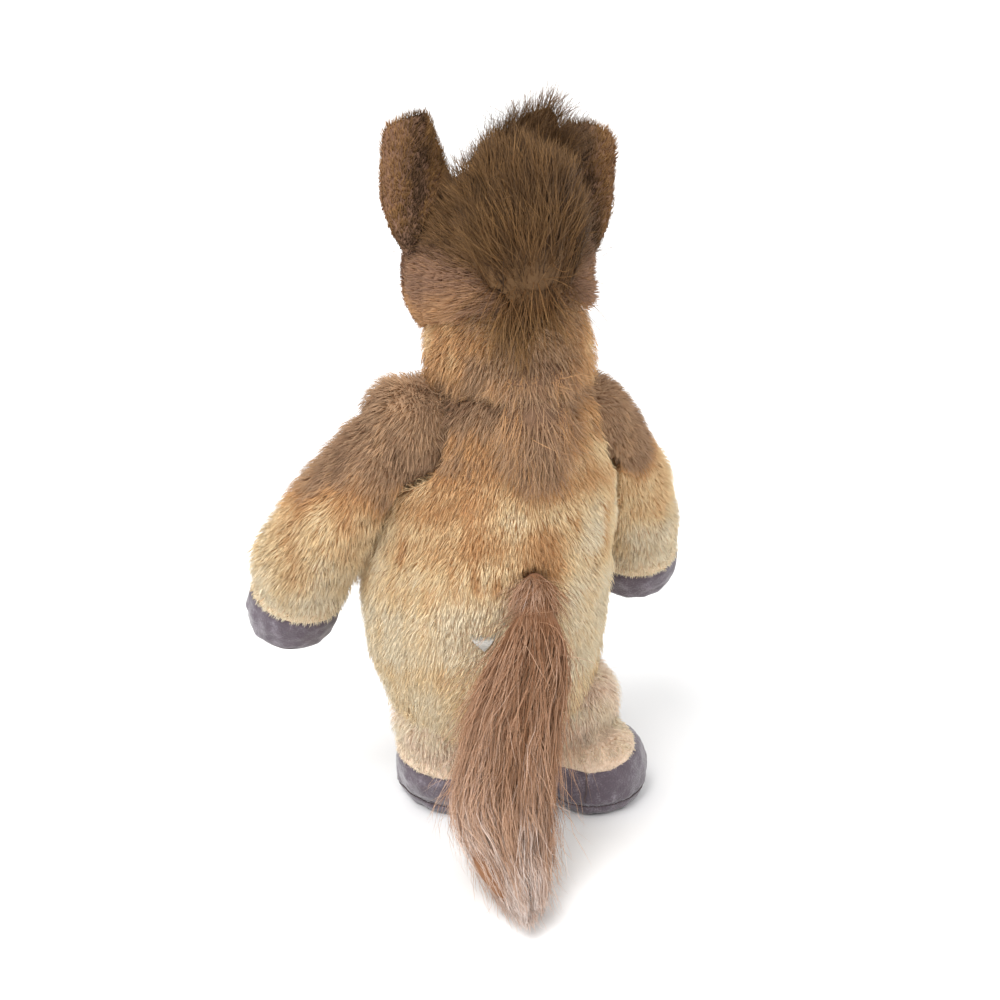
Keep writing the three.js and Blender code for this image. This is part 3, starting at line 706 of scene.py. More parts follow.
def ring_on(skin, place, normal, count):
    """Points where a plane meets a skin, in order round the plane's middle."""
    first = square_to(normal)
    second = np.cross(normal, first)
    tree = surface_of(skin)
    far = 120 * MM
    points = []
    for turn in np.linspace(0, 2 * math.pi, count, endpoint=False):
        way = first * math.cos(turn) + second * math.sin(turn)
        hit = tree.ray_cast(Vector(place + way * far), Vector(-way))[0]
        if hit is not None:
            points.append(np.array(hit))
    return np.array(points)


def stitches(line, normals, share=0.62):
    """The path of one short raised stitch over each step of a closed line."""
    arch = ((-1, -0.35), (-0.5, 0.2), (0, 0.38), (0.5, 0.2), (1, -0.35))  # half lengths along, and mm up
    paths = []
    for (a, b), normal in zip(zip(line, np.roll(line, -1, axis=0)), normals):
        reach, middle = (b - a) * share / 2, (a + b) / 2
        paths.append([middle + reach * along + normal * rise * MM for along, rise in arch])
    return paths


# What a user of the scene would change

def colour_property(name, description, hex_colour):
    """A dye with its default."""
    colour = linear(hex_colour)[:3]
    return bpy.props.FloatVectorProperty(
        name=name, description=description, subtype="COLOR", size=3, min=0, max=1, default=colour
    )


def length_property(name, description, millimetres, least=0.0):
    """A length with its default and its least value."""
    return bpy.props.FloatProperty(
        name=name, description=description, default=millimetres * MM, min=least * MM, unit="LENGTH"
    )


class PlushHorseSizes(bpy.types.PropertyGroup):
    """Lengths of pile and hair, and how thick the pile stands"""
    pile: length_property("Body pile", "Length of the pile on the back, arms and legs", 9.0, 2)
    head_pile: length_property("Head pile", "Length of the shorter pile on the head", 6.5, 1)
    ear_pile: length_property("Ear pile", "Length of the pile on the ears", 6.0, 1)
    mane: length_property("Mane", "Length of the hair on the crest of the head", 34, 5)
    forelock: length_property("Forelock", "Length of the tuft between the ears", 44, 5)
    tail_lock: length_property("Tail locks", "Length of each lock of the tail", 62, 5)
    density: bpy.props.FloatProperty(
        name="Pile density", description="Fibre tufts on each square millimetre", default=1.1, min=0.05, max=3
    )


class PlushHorseColours(bpy.types.PropertyGroup):
    """The dyes of the plush, the hair and the suede"""
    # Umber is also the colour that the painted shade of the spine's parting reaches.
    umber: colour_property("Umber", "Darkest dye of the body plush, down the spine", 0x96755C)
    brown: colour_property("Brown", "Dye of the upper back and shoulders", 0xC2A080)
    caramel: colour_property("Caramel", "Dye of the middle of the back", 0xDCAA76)
    gold: colour_property("Gold", "Dye of the lower back", 0xFFE4B6)
    cream: colour_property("Cream", "Lightest tips, at the cuffs and the seat", 0xFFF2D6)
    rose: colour_property("Rose beige", "Dye of the legs", 0xFFE8D2)
    taupe: colour_property("Taupe", "Dye of the head", 0x9C7A64)
    chestnut: colour_property("Chestnut", "Dark shade of the mane and tail", 0x44301F)
    amber: colour_property("Amber", "Light shade of the mane and tail", 0xA27A4C)
    russet: colour_property("Russet", "Upper part of the tail", 0xA87A58)
    fawn: colour_property("Fawn", "Middle of the tail", 0xD6B094)
    ash: colour_property("Ash", "Worn ends of the tail", 0xFFF4EE)
    slate: colour_property("Slate", "Dark shade of the suede", 0x524850)
    dove: colour_property("Dove", "Rubbed shade of the suede", 0x867D86)


def sizes():
    """The sizes that the scene holds."""
    return bpy.context.scene.plush_horse_sizes


def colours():
    """The dyes that the scene holds."""
    return bpy.context.scene.plush_horse_colours


# Regions of dye and directions of nap, by places in millimetres

def millimetres(points, middle_x):
    """How far points are to the left of a middle, and their y and z, in millimetres."""
    x, y, z = (points / MM).T
    return x - middle_x / MM, y, z


def body_dye(roots, outwards):
    """Brown over the shoulders, caramel below, gold at the seat. Painted shade lies in the parting down the
    spine, in streaks of parting across the back and along the crease beside the left arm.
    """
    x, y, z = millimetres(roots, SPINE_X)
    z = z + 8 * waves(roots * [1, 1, 0.5], 44, 17)
    fades = ((0.25, 206, 232), (0.27, 178, 205), (0.16, 128, 160))  # how much paler, between which heights
    tone = 0.2 + sum(paler * (1 - ramp(z, low, high)) for paler, low, high in fades)
    # clouds: tone that varies at random, and partly painted light and shade of patches where the nap is
    # brushed different ways
    clouds = 0.05 * streaks(roots, 12, 3) + 0.12 * waves(roots * [0.8, 0.8, 1.3], 32, 4)
    # painted shade in sparse up-and-down partings of the pile
    painted_parting_shade = 0.32 * ramp(waves(roots * [1, 1, 0.22], 13, 18), 0.9, 1.7) * ramp(z, 110, 150)
    right = 0.14 * ramp(-x, 8, 30) * (y > -30) * ramp(z, 130, 160)
    # painted shade along the crease beside the left arm
    left = 0.05 * ramp(x, 40, 54) * ramp(z, 125, 155)
    # painted shade in the parting down the spine, wider over the shoulders
    wide = 9 + 6 * ramp(z, 190, 245)
    spine = 0.19 * np.exp(-((x / wide) ** 2)) * (y > -10) * ramp(z, 110, 170)
    return np.maximum(tone + clouds + right - left - spine - painted_parting_shade, 0.04)


def sleeve_dye(roots, outwards):
    """Brown at the shoulder to cream at the cuff, and paler on the right."""
    right = roots[:, 0] < SPINE_X
    z = roots[:, 2] / MM + 11 * waves(roots, 30, 19) - right * 8
    return 1.0 - 0.32 * ramp(z, 118, 160) - 0.52 * ramp(z, 178, 203) + waves(roots, 20, 5) * 0.06


def leg_dye(roots, outwards):
    """Rose beige, paler towards the hoof."""
    return 0.78 - 0.14 * ramp(roots[:, 2] / MM, 52, 70) + waves(roots, 20, 6) * 0.14


def neck_dye(roots, outwards):
    """Tan, and brown under the mane."""
    x, y, _ = millimetres(roots, SPINE_X)
    under = 0.42 * np.exp(-((x / 24) ** 2)) * (y > -10)
    return 0.48 + waves(roots, 20, 7) * 0.1 - under


def beside_mane(roots):
    """1 beside the mane at the back and top of the head, 0 on the cheeks and the face."""
    x, y, z = millimetres(roots, CREST_X)
    higher = z - WHORL[2] / MM - 0.6 * (np.abs(x) - 12)
    return ramp(higher, -9, 9) * ramp(y, -38, -14)


def below_whorl(roots):
    """1 at the foot of the head's back, where the hair hangs over the neck."""
    x, y, z = millimetres(roots, CREST_X)
    return (1 - ramp(z, 288, 306)) * ramp(y, -24, 0) * (1 - ramp(np.abs(x), 24, 50))


def head_dye(roots, outwards):
    """Taupe brown, lighter on the cheeks, the jaw and the muzzle."""
    x, y, z = millimetres(roots, CREST_X)
    cheek = 0.3 * (1 - ramp(z, 272, 300)) * ramp(np.abs(x), 14, 34)
    nose = 0.25 * (1 - ramp(y, -114, -64))
    return 0.36 + cheek + nose - 0.34 * beside_mane(roots) + waves(roots, 22, 8) * 0.07


def mane_dye(roots, outwards):
    """Chestnut with amber lights in streaks."""
    return 0.4 + streaks(roots, 9, 14) * 0.24


def downwards(roots, outwards):
    """Nap lies down, swept a little away from the spine."""
    x, _, _ = millimetres(roots, SPINE_X)
    aside = np.sign(x) * ramp(np.abs(x), 0, 8) * 0.35 + streaks(roots, 30, 9) * 0.2
    return unit(np.stack([aside, np.zeros(len(roots)), -np.ones(len(roots))], axis=1))


def over_head(roots, outwards):
    """Nap rises from the nape over the back of the head, and lies from the nose to the cheeks in front."""
    sway = waves(roots, 20, 10) * 0.2
    back = np.stack([sway, np.ones(len(roots)), np.full(len(roots), 0.15)], axis=1)
    away = unit(roots - WHORL)
    share = ramp(roots[:, 1] / MM, -52, -16)[:, None]
    return unit(away * share + back * (1 - share))


# The steps, each an operator

def fuller_jaw(points):
    """How far the head's skin is moved in (mm): less on its right under the ear, where the head is fuller."""
    x, y, z = millimetres(points, CREST_X)
    beside = ramp(-x, 22, 38) * ramp(y, -60, -40)
    return 2.4 - 4.0 * beside * ramp(z, 268, 282) * (1 - ramp(z, 306, 324))


class PLUSH_OT_skins(bpy.types.Operator):
    """Sews and stuffs the skins of the torso, neck and head"""

    bl_idname = "plush_horse.skins"
    bl_label = "Skins"

    def execute(self, context):
        dye = colours()
        body_stops = [(0.0, dye.cream), (0.5, dye.caramel), (1.0, dye.brown)]
        head_stops = [(0.0, dye.caramel), (1.0, dye.taupe)]
        leg_stops = [(0.0, dye.rose), (1.0, shaded(dye.rose, 0.85))]
        plain = backing_material(BODY_BACKING, body_stops, low=95, high=215)
        dark = backing_material(HEAD_BACKING, head_stops, low=265, high=310)
        backing_material(LEG_BACKING, leg_stops, low=0, high=90)
        skins = (  # with the voxel (mm), the rounds of smoothing and the inset (mm) of each
            ("torso", ["torso_cover", "torso_filling"], 3.2, 8, 3.6, plain, "caramel_plush"),
            ("neck", ["neck_cover", "neck_filling"], 2.8, 6, 2.8, plain, "caramel_plush"),
            ("head", ["head_cover", "muzzle_cover", "head_filling"], 2.4, 8, fuller_jaw, dark, "brown_plush"),
        )
        for body, nodes, voxel, rounds, inset, cloth, slot in skins:
            skin = soft_form(f"{body}_skin", nodes, voxel, rounds, inset)
            bed_of(body, skin)
            dress(skin, body, cloth, slot, *nodes)
        return {"FINISHED"}


def limb(body, end, fuller, higher):
    """A limb: its furred skin, suede hoof and end panel, and the stitches between them."""
    arm = body.endswith("arm")
    cover, filling, hoof, pad = (f"{body}_{part}" for part in ("cover", "filling", "hoof", end))
    cuff, way = seam_plane(cover, hoof)
    heel, out = seam_plane(hoof, pad)
    root = root_of(cover)
    outer = np.array([math.copysign(1, root[0] - SPINE_X), 0, 0])
    outer = along_surface(outer, unit(cuff - root)[None, :])[0]
    if not arm:
        cuff = cuff - way * 2.5 * MM  # the suede of a leg reaches up over its seam

    def inset(points):
        """The fur side is moved in below its pile, the seams are drawn in, and the suede creases."""
        ahead = (points - cuff) @ way / MM
        beyond = (points - heel) @ out / MM
        depth = 2.9 * (1 - ramp(ahead, -9, 0.5)) + 1.1 * np.exp(-((ahead / 1.6) ** 2))
        depth = depth + 1.0 * np.exp(-((beyond / 1.1) ** 2))
        creases = waves(points * [1, 1, 1.6], 13, 11) * 0.3 + waves(points, 5, 12) * 0.1
        outside = (points - root) @ outer / MM
        bulge = fuller * ramp(outside, -4, 16) * (1 - ramp(ahead, -26, -4))
        bulge = bulge + higher * ramp((points - root)[:, 2] / MM, -8, 12)
        return depth + creases * ramp(ahead, 0, 4) - bulge

    form = soft_form(f"{body}_form", [cover, filling, hoof, pad], voxel=1.8, rounds=12, inset=inset)
    skin = half_of(form, f"{body}_skin", [(cuff, -way)])
    boot = half_of(form, f"{body}_boot", [(cuff, way), (heel, -out)])
    panel = half_of(form, f"{body}_panel", [(heel, out)])
    pieces = (
        (skin, BODY_BACKING if arm else LEG_BACKING, "caramel_plush", [cover, filling]),
        (boot, SUEDE, "hoof_suede", [hoof]),
        (panel, SUEDE, "hoof_suede", [pad]),
    )
    for piece, cloth, slot, covered in pieces:
        dress(piece, body, bpy.data.materials[cloth], slot, *covered)
    bed_of(body, skin, boot)
    thread = bpy.data.materials[HOOF_THREAD]
    line = ring_on(form, heel, out, count=110)
    middle = line.mean(0)
    raised = stitches(line + out * 0.2 * MM, unit(line - middle))
    sew(f"{body}_hoof_seam", raised, body, thread, radius_mm=0.34)
    if not arm:
        toe = np.linalg.svd((line - middle) * [1, 1, 0])[2][0]
        back = middle - toe * math.copysign(45 * MM, -toe[1])
        low, high = (heel - out * 1 * MM)[2], (cuff - way * 1 * MM)[2] - 3 * MM
        rises = [[back[0], back[1], z] for z in np.linspace(low, high, 12)]
        joint = above(surface_of(boot), rises, 0.05 * MM)
        sew(f"{body}_heel_seam", [joint], body, thread, radius_mm=0.45)
    shapes.pop(form.name)
    bpy.data.objects.remove(form)


class PLUSH_OT_limbs(bpy.types.Operator):
    """Sews and stuffs the arms and legs with their suede hooves"""

    bl_idname = "plush_horse.limbs"
    bl_label = "Arms and legs"

    def execute(self, context):
        dye = colours()
        suede_material(SUEDE, [(0.0, dye.slate), (0.55, shaded(dye.slate, 1.25)), (1.0, dye.dove)])
        # dark and light are the painted shade and light of the thread's twist
        thread_material(HOOF_THREAD, dark=0x3A3030, light=0x6A5A5A, twist_mm=0.6, depth_mm=0.2, rough=0.8)
        for body, (end, fill, fuller, higher, _) in LIMBS.items():
            limb(body, end, fuller, higher)
        return {"FINISHED"}


def limb_pile(body, look, dye, full, density, seed):
    """Combs a limb's pile from its root to its cuff, where it is clipped short."""
    arm = body.endswith("arm")
    cuff, way = seam_plane(f"{body}_cover", f"{body}_hoof")
    root = root_of(f"{body}_cover")
    least = 0.34 if arm else 0.2
    margin = (0.3 if arm else 3) * MM

    def along(roots, outwards):
        """Nap lies from the shoulder or hip down to the hoof, with some sway."""
        return unit(unit(cuff - root) + way * 0.4 + drift(roots, 22, 30) * 0.2)

    def on_cloth(roots, outwards):
        """Leaves a margin bare above the cuff's seam."""
        return (roots - cuff) @ way < -margin

    def clipped(roots):
        """The length in mm, which grows over the 20 mm above the cuff."""
        return full * (least + (1 - least) * ramp(-(roots - cuff) @ way / MM, 0, 20))

    pile(f"{body}_pile", shapes[f"{body}_skin"], body, along, dye, look, "caramel_plush", clipped, density,
         seed, keep=on_cloth, lift=(48, 20))


class PLUSH_OT_pile(bpy.types.Operator):
    """Combs the long pile of the torso, neck, arms and legs"""

    bl_idname = "plush_horse.pile"
    bl_label = "Body pile"

    def execute(self, context):
        dye, size = colours(), sizes()
        body_stops = [
            (0.0, dye.umber), (0.22, dye.brown), (0.45, dye.caramel), (0.72, dye.gold), (1.0, dye.cream),
        ]
        # The root colours here are painted shade deep in the pile.
        plush = fibre_material(BODY_PLUSH, body_stops, painted_root_shade=0xEDE4DA, sheen=0.35)
        leg_stops = [(0.0, dye.brown), (0.5, dye.rose), (1.0, dye.cream)]
        rose = fibre_material("leg plush, rose beige", leg_stops, painted_root_shade=0xF2EAE2, sheen=0.35)
        length, density = size.pile / MM, size.density

        def torso_length(roots):
            """Longer over the shoulders."""
            return length * (1 + 0.3 * ramp(roots[:, 2] / MM, 195, 235))

        def neck_length(roots):
            """Longer at the collar."""
            return length * (1.05 + 0.7 * (1 - ramp(roots[:, 2] / MM, 252, 268)))

        pile("torso_pile", shapes["torso_skin"], "torso", downwards, body_dye, plush, "caramel_plush",
             torso_length, density, seed=21)
        pile("neck_pile", shapes["neck_skin"], "neck", downwards, neck_dye, plush, "caramel_plush",
             neck_length, density, seed=22, lift=(54, 20), clearance=4.0)
        for seed, (body, (*_, share)) in enumerate(LIMBS.items(), start=40):
            look, shade = (plush, sleeve_dye) if body.endswith("arm") else (rose, leg_dye)
            limb_pile(body, look, shade, length * share, density, seed)
        return {"FINISHED"}


class PLUSH_OT_head_pile(bpy.types.Operator):
    """Combs the shorter pile of the head and muzzle"""

    bl_idname = "plush_horse.head_pile"
    bl_label = "Head pile"

    def execute(self, context):
        dye, size = colours(), sizes()
        dark = between(dye.chestnut, dye.amber, 0.5)
        stops = [(0.0, dark), (0.33, dye.taupe), (0.7, dye.caramel), (1.0, dye.gold)]
        # The root colour is painted shade deep in the pile.
        brown = fibre_material("short head plush, taupe brown", stops, painted_root_shade=0xDCD0C4)
        eyes, nostrils = ([middle_of(f"{side}_{part}") for side in SIDES] for part in ("eye", "nostril"))
        bare = [(spot, 8.0) for spot in eyes] + [(spot, 3.2) for spot in nostrils]  # with a radius in mm

        def clear(roots, outwards):
            """Leaves the eyes and the nostrils bare."""
            free = [np.linalg.norm(roots - spot, axis=1) > radius * MM for spot, radius in bare]
            return np.all(free, axis=0)

        def length(roots):
            """Short round the eyes and on the muzzle, long beside and below the mane."""
            near = np.min([np.linalg.norm(roots - spot, axis=1) for spot, _ in bare], axis=0) / MM
            short = (0.45 + 0.55 * ramp(near, 6, 22)) * (0.7 + 0.3 * ramp(roots[:, 1] / MM, -114, -54))
            return size.head_pile / MM * (short + 0.5 * beside_mane(roots) + 1.7 * below_whorl(roots))

        pile("head_pile", shapes["head_skin"], "head", over_head, head_dye, brown, "brown_plush", length,
             size.density * 1.15, seed=60, keep=clear, width_mm=0.23, lift=(34, 14))
        return {"FINISHED"}


def ear(side, number, outer, inner, pile_mm):
    """An ear: its outer shell and its lining, with pile combed from the fold to the tip and the edges."""
    shell = node_points(f"{side}_ear_outer")
    low, high = np.percentile(shell[:, 2], [12, 92])
    base, tip = shell[shell[:, 2] < low].mean(0), shell[shell[:, 2] > high].mean(0)
    axis = unit(tip - base)
    tall = np.linalg.norm(tip - base)
    outside = math.copysign(1, base[0] - SPINE_X)

    def upwards(roots, outwards):
        """Nap lies from the root of the ear to its tip, and outwards from its middle."""
        across = (roots - base) - np.outer((roots - base) @ axis, axis)
        return unit(axis + across * 8)

    def edge_dye(roots, outwards):
        """Lighter along the edges, with painted shade in the fold."""
        up = (roots - base) @ axis
        across = (roots - base - np.outer(up, axis))[:, 0] * outside / MM
        rim = 0.26 * ramp(across, 5, 16) + 0.3 * ramp(-across, 2, 12) * (1 - ramp(up / tall, 0.3, 0.7))
        # painted shade darkens the hollow of the fold
        fold = 0.24 * np.exp(-(((across + 1) / 5) ** 2))
        return 0.24 + rim - fold + waves(roots, 15, 12) * 0.07

    def dark_dye(roots, outwards):
        return 0.3 + waves(roots, 15, 13) * 0.2

    backing = bpy.data.materials[HEAD_BACKING]
    form = soft_form(f"{side}_ear_shell", [f"{side}_ear_outer"], voxel=1.4, rounds=5, inset=1.2)
    dress(form, "head", backing, "brown_plush", f"{side}_ear_outer")
    lining = soft_form(f"{side}_ear_inside", [f"{side}_ear_lining"], voxel=1.1, rounds=4, inset=0.2)
    dress(lining, "head", backing, "ear_lining", f"{side}_ear_lining")
    pile(f"{side}_ear_pile", form, "head", upwards, edge_dye, outer, "brown_plush", pile_mm, per_mm2=1.4,
         seed=70 + number, width_mm=0.22, lift=(46, 26), spread=0.3)
    pile(f"{side}_ear_lining_pile", lining, "head", upwards, dark_dye, inner, "ear_lining", pile_mm * 0.7,
         per_mm2=1.5, seed=80 + number, width_mm=0.25, lift=(50, 30))


class PLUSH_OT_ears(bpy.types.Operator):
    """Makes the ears, brown outside and dark inside the fold"""

    bl_idname = "plush_horse.ears"
    bl_label = "Ears"

    def execute(self, context):
        dye = colours()
        stops = [(0.0, dye.chestnut), (0.35, dye.amber), (0.7, dye.taupe), (1.0, dye.caramel)]
        # The root colours of both ear piles are painted shade deep in the pile, darkest in the lining.
        outer = fibre_material("ear plush, brown with a lighter edge", stops, painted_root_shade=0xDCD0C4)
        dark = [(0.0, dye.chestnut), (1.0, dye.brown)]
        inner = fibre_material("ear lining, short dark plush", dark, painted_root_shade=0x8A7868, rough=0.8,
                               sheen=0.25)
        for number, side in enumerate(SIDES):
            ear(side, number, outer, inner, sizes().ear_pile / MM)
        return {"FINISHED"}


def nostril(side, thread, face):
    """A satin-stitched oval of threads side by side on the face."""
    low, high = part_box(f"{side}_nostril")
    x, _, z = (np.array(low) + np.array(high)) / 2
    width, tall = (high.x - low.x) / 2, (high.z - low.z) / 2
    rises = np.linspace(-1, 1, 7)
    paths = []
    for share in np.linspace(-1, 1, 13):
        reach = math.sqrt(1.02 - share**2) * tall
        aside = x + share * width * 0.92
        line = [[aside, low.y + 1.2 * MM * rise**2, z + reach * rise] for rise in rises]
        paths.append(above(face, line, 2.2 * MM))
    sew(f"{side}_nostril_satin", paths, "head", thread, f"{side}_nostril", radius_mm=0.42)


def mouth(thread, face):
    """A line of thick stitches that turns up at both ends."""
    low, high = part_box("mouth_stitch")
    middle, half = (low.x + high.x) / 2, (high.x - low.x) / 2
    line = [
        [middle + half * share, low.y - 2 * MM, low.z + (high.z - low.z) * (0.3 + 0.5 * share**2)]
        for share in np.linspace(-1, 1, 9)
    ]
    line = above(face, line, 2.4 * MM)
    paths = [[a + (b - a) * share for share in (0.02, 0.35, 0.65, 0.98)] for a, b in zip(line, line[1:])]
    sew("mouth_thread", paths, "head", thread, "mouth_stitch", radius_mm=0.6)


class PLUSH_OT_face(bpy.types.Operator):
    """Sets the eyes and sews the nostrils and the mouth"""

    bl_idname = "plush_horse.face"
    bl_label = "Face"

    def execute(self, context):
        plastic = eye_material()
        # dark and light are the painted shade and light of the thread's twist
        thread = thread_material("face thread, black satin stitch", dark=0x1A1411, light=0x3A2E28,
                                 twist_mm=0.5, depth_mm=0.15, rough=0.5, sheen=0.4)
        face = surface_of(shapes["head_skin"])
        for side in SIDES:
            eye = soft_form(f"{side}_eye_dome", [f"{side}_eye"], voxel=0.5, rounds=4, inset=-0.1, closing=0.3)
            dress(eye, "head", plastic, "eye_plastic", f"{side}_eye")
            nostril(side, thread, face)
        mouth(thread, face)
        return {"FINISHED"}


def hair_core(node, body, slot, cloth, voxel, inset):
    """The stuffed or sewn core that a CAD hair node's locks stand on."""
    core = soft_form(f"{node}_core", [node], voxel, rounds=6, inset=inset)
    return dress(core, body, cloth, slot, node)


class PLUSH_OT_mane(bpy.types.Operator):
    """Combs the mane up from the nape, with its forelock"""

    bl_idname = "plush_horse.mane"
    bl_label = "Mane"

    def execute(self, context):
        dye, size = colours(), sizes()
        lights = between(dye.chestnut, dye.amber, 0.45)
        stops = [(0.0, dye.chestnut), (0.5, lights), (1.0, dye.amber)]
        # The root colour is painted shade deep in the hair.
        hair = fibre_material("mane hair, chestnut with amber lights", stops, painted_root_shade=0xB8A898,
                              rough=0.5, sheen=0.25)
        cloth = hair_backing("mane backing, brown knitted cloth", lights)
        self.crest(hair, cloth, size.mane / MM)
        self.crown(hair)
        self.forelock(hair, cloth, size.forelock / MM)
        return {"FINISHED"}

    def crest(self, hair, cloth, length):
        """The hair down the back of the head: it rises above the whorl and hangs below it."""

        def hanging(roots):
            """The share of the mane that hangs over the neck."""
            return 1 - ramp(roots[:, 2] / MM, WHORL[2] / MM - 14, WHORL[2] / MM + 12)

        def upper(roots, outwards):
            """Where hair rises: thinner where it also hangs."""
            return np.random.default_rng(4).random(len(roots)) > hanging(roots) * 0.35

        def lower(roots, outwards):
            """Where hair hangs."""
            return np.random.default_rng(5).random(len(roots)) < hanging(roots)

        def fan(spots):
            """Rises from the nape and spreads over the crown."""
            return unit(unit(spots - NAPE) + UP * 0.15)

        def fall(spots):
            """Falls over the neck, a little to the back."""
            return unit(unit(spots - WHORL - UP * 16 * MM) + np.array([0.0, 0.4, -0.8]))

        def nape_dye(roots, outwards):
            return 0.8 + streaks(roots, 9, 20) * 0.2

        core = hair_core("head_mane", "head", "long_hair", cloth, voxel=2.2, inset=3.4)
        locks("mane_locks", core, "head", fan, mane_dye, hair, count=6200, length_mm=length, steps=4, seed=90,
              height=(0.5, 5.5), hug=0.4, wave_mm=2.0, spread=0.24, stray=0.16, width_mm=0.21, keep=upper)
        locks("nape_locks", core, "head", fall, nape_dye, hair, count=8500, length_mm=length * 1.3, steps=4,
              seed=98, height=(1.0, 5.0), hug=0.0, spread=0.28, stray=0.1, width_mm=0.21, keep=lower)

    def crown(self, hair):
        """The hair on the head's own skin beside the mane."""

        def on_crown(roots, outwards):
            """Thinner away from the mane."""
            return np.random.default_rng(6).random(len(roots)) < beside_mane(roots)

        def length(roots):
            """Longer at the top, and on the left."""
            x, _, z = millimetres(roots, CREST_X)
            return 24 + 14 * ramp(z, 338, 354) + 10 * ramp(x, 14, 30) * ramp(z, 326, 342)

        def flow(spots):
            """Lies away from the whorl, and up a little."""
            return unit(unit(spots - WHORL) + UP * 0.2)

        locks("crown_locks", shapes["head_skin"], "head", flow, mane_dye, hair, count=15000,
              length_mm=length, steps=3, seed=97, height=(2.5, 6.5), hug=0.5, wave_mm=1.4, spread=0.24,
              stray=0.16, keep=on_crown)

    def forelock(self, hair, cloth, length):
        """The tuft between the ears."""
        core = hair_core("forelock", "head", "long_hair", cloth, voxel=1.8, inset=8.0)
        points = node_points("forelock")
        low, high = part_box("forelock")
        foot = points[points[:, 2] < low.z + 8 * MM].mean(0)
        peak = points[points[:, 2] > high.z - 8 * MM].mean(0)
        rising = unit(peak - foot)
        source = foot - rising * 26 * MM

        def splay(spots):
            """The tuft rises, leans to the right and opens."""
            return unit(unit(spots - source) * 0.8 + rising * 0.4 + np.array([-0.95, 0.15, 0.2]))

        def tuft_length(roots):
            """Shorter on the left and towards the peak."""
            left = (roots[:, 0] - low.x) / (high.x - low.x)
            higher = (roots[:, 2] - low.z) / (high.z - low.z)
            return length * (1.05 - 0.35 * left) * (1 - 0.6 * np.clip(higher, 0, 1))

        locks("forelock_locks", core, "head", splay, mane_dye, hair, count=1500, length_mm=tuft_length,
              steps=5, seed=91, height=(0.0, 4.5), hug=0.0, spread=0.3, stray=0.4, group=6, pull=0.35,
              width_mm=0.16)


class PLUSH_OT_strips(bpy.types.Operator):
    """Combs the strips of hair down the back of the neck and between the shoulders"""

    bl_idname = "plush_horse.strips"
    bl_label = "Neck and back strips"

    def execute(self, context):
        hair = bpy.data.materials[BODY_PLUSH]
        cloth = hair_backing("strip backing, brown knitted cloth", shaded(colours().umber, 0.9))

        def down(spots):
            """Hangs down, and away from the spine a little."""
            aside = (spots[:, 0] - SPINE_X) / (22 * MM)
            return unit(np.stack([aside * 0.5, np.full(len(spots), 0.1), np.full(len(spots), -1.0)], axis=1))

        def strip_dye(roots, outwards):
            """Darkest down the middle."""
            middle = np.exp(-(((roots[:, 0] - SPINE_X) / (11 * MM)) ** 2))
            return 0.32 - 0.2 * middle + streaks(roots, 9, 16) * 0.08

        def thinning(roots, outwards):
            """Fewer strands towards the top of the neck."""
            return np.random.default_rng(7).random(len(roots)) > ramp(roots[:, 2] / MM, 252, 266)

        for seed, node, body, length in ((95, "neck_mane", "neck", 27), (96, "back_mane", "torso", 30)):
            core = hair_core(node, body, "long_hair", cloth, voxel=1.6, inset=3.8)
            points = coordinates(core.data)
            points[:, 1] -= 10 * MM * ramp(points[:, 2] / MM, 248, 267)  # its top goes down into the plush
            set_coordinates(core.data, points)
            locks(f"{node}_locks", core, body, down, strip_dye, hair, count=2600, length_mm=length, steps=3,
                  seed=seed, height=(0.2, 2.4), hug=0.2, wave_mm=1.2, spread=0.26, stray=0.1, keep=thinning)
        return {"FINISHED"}


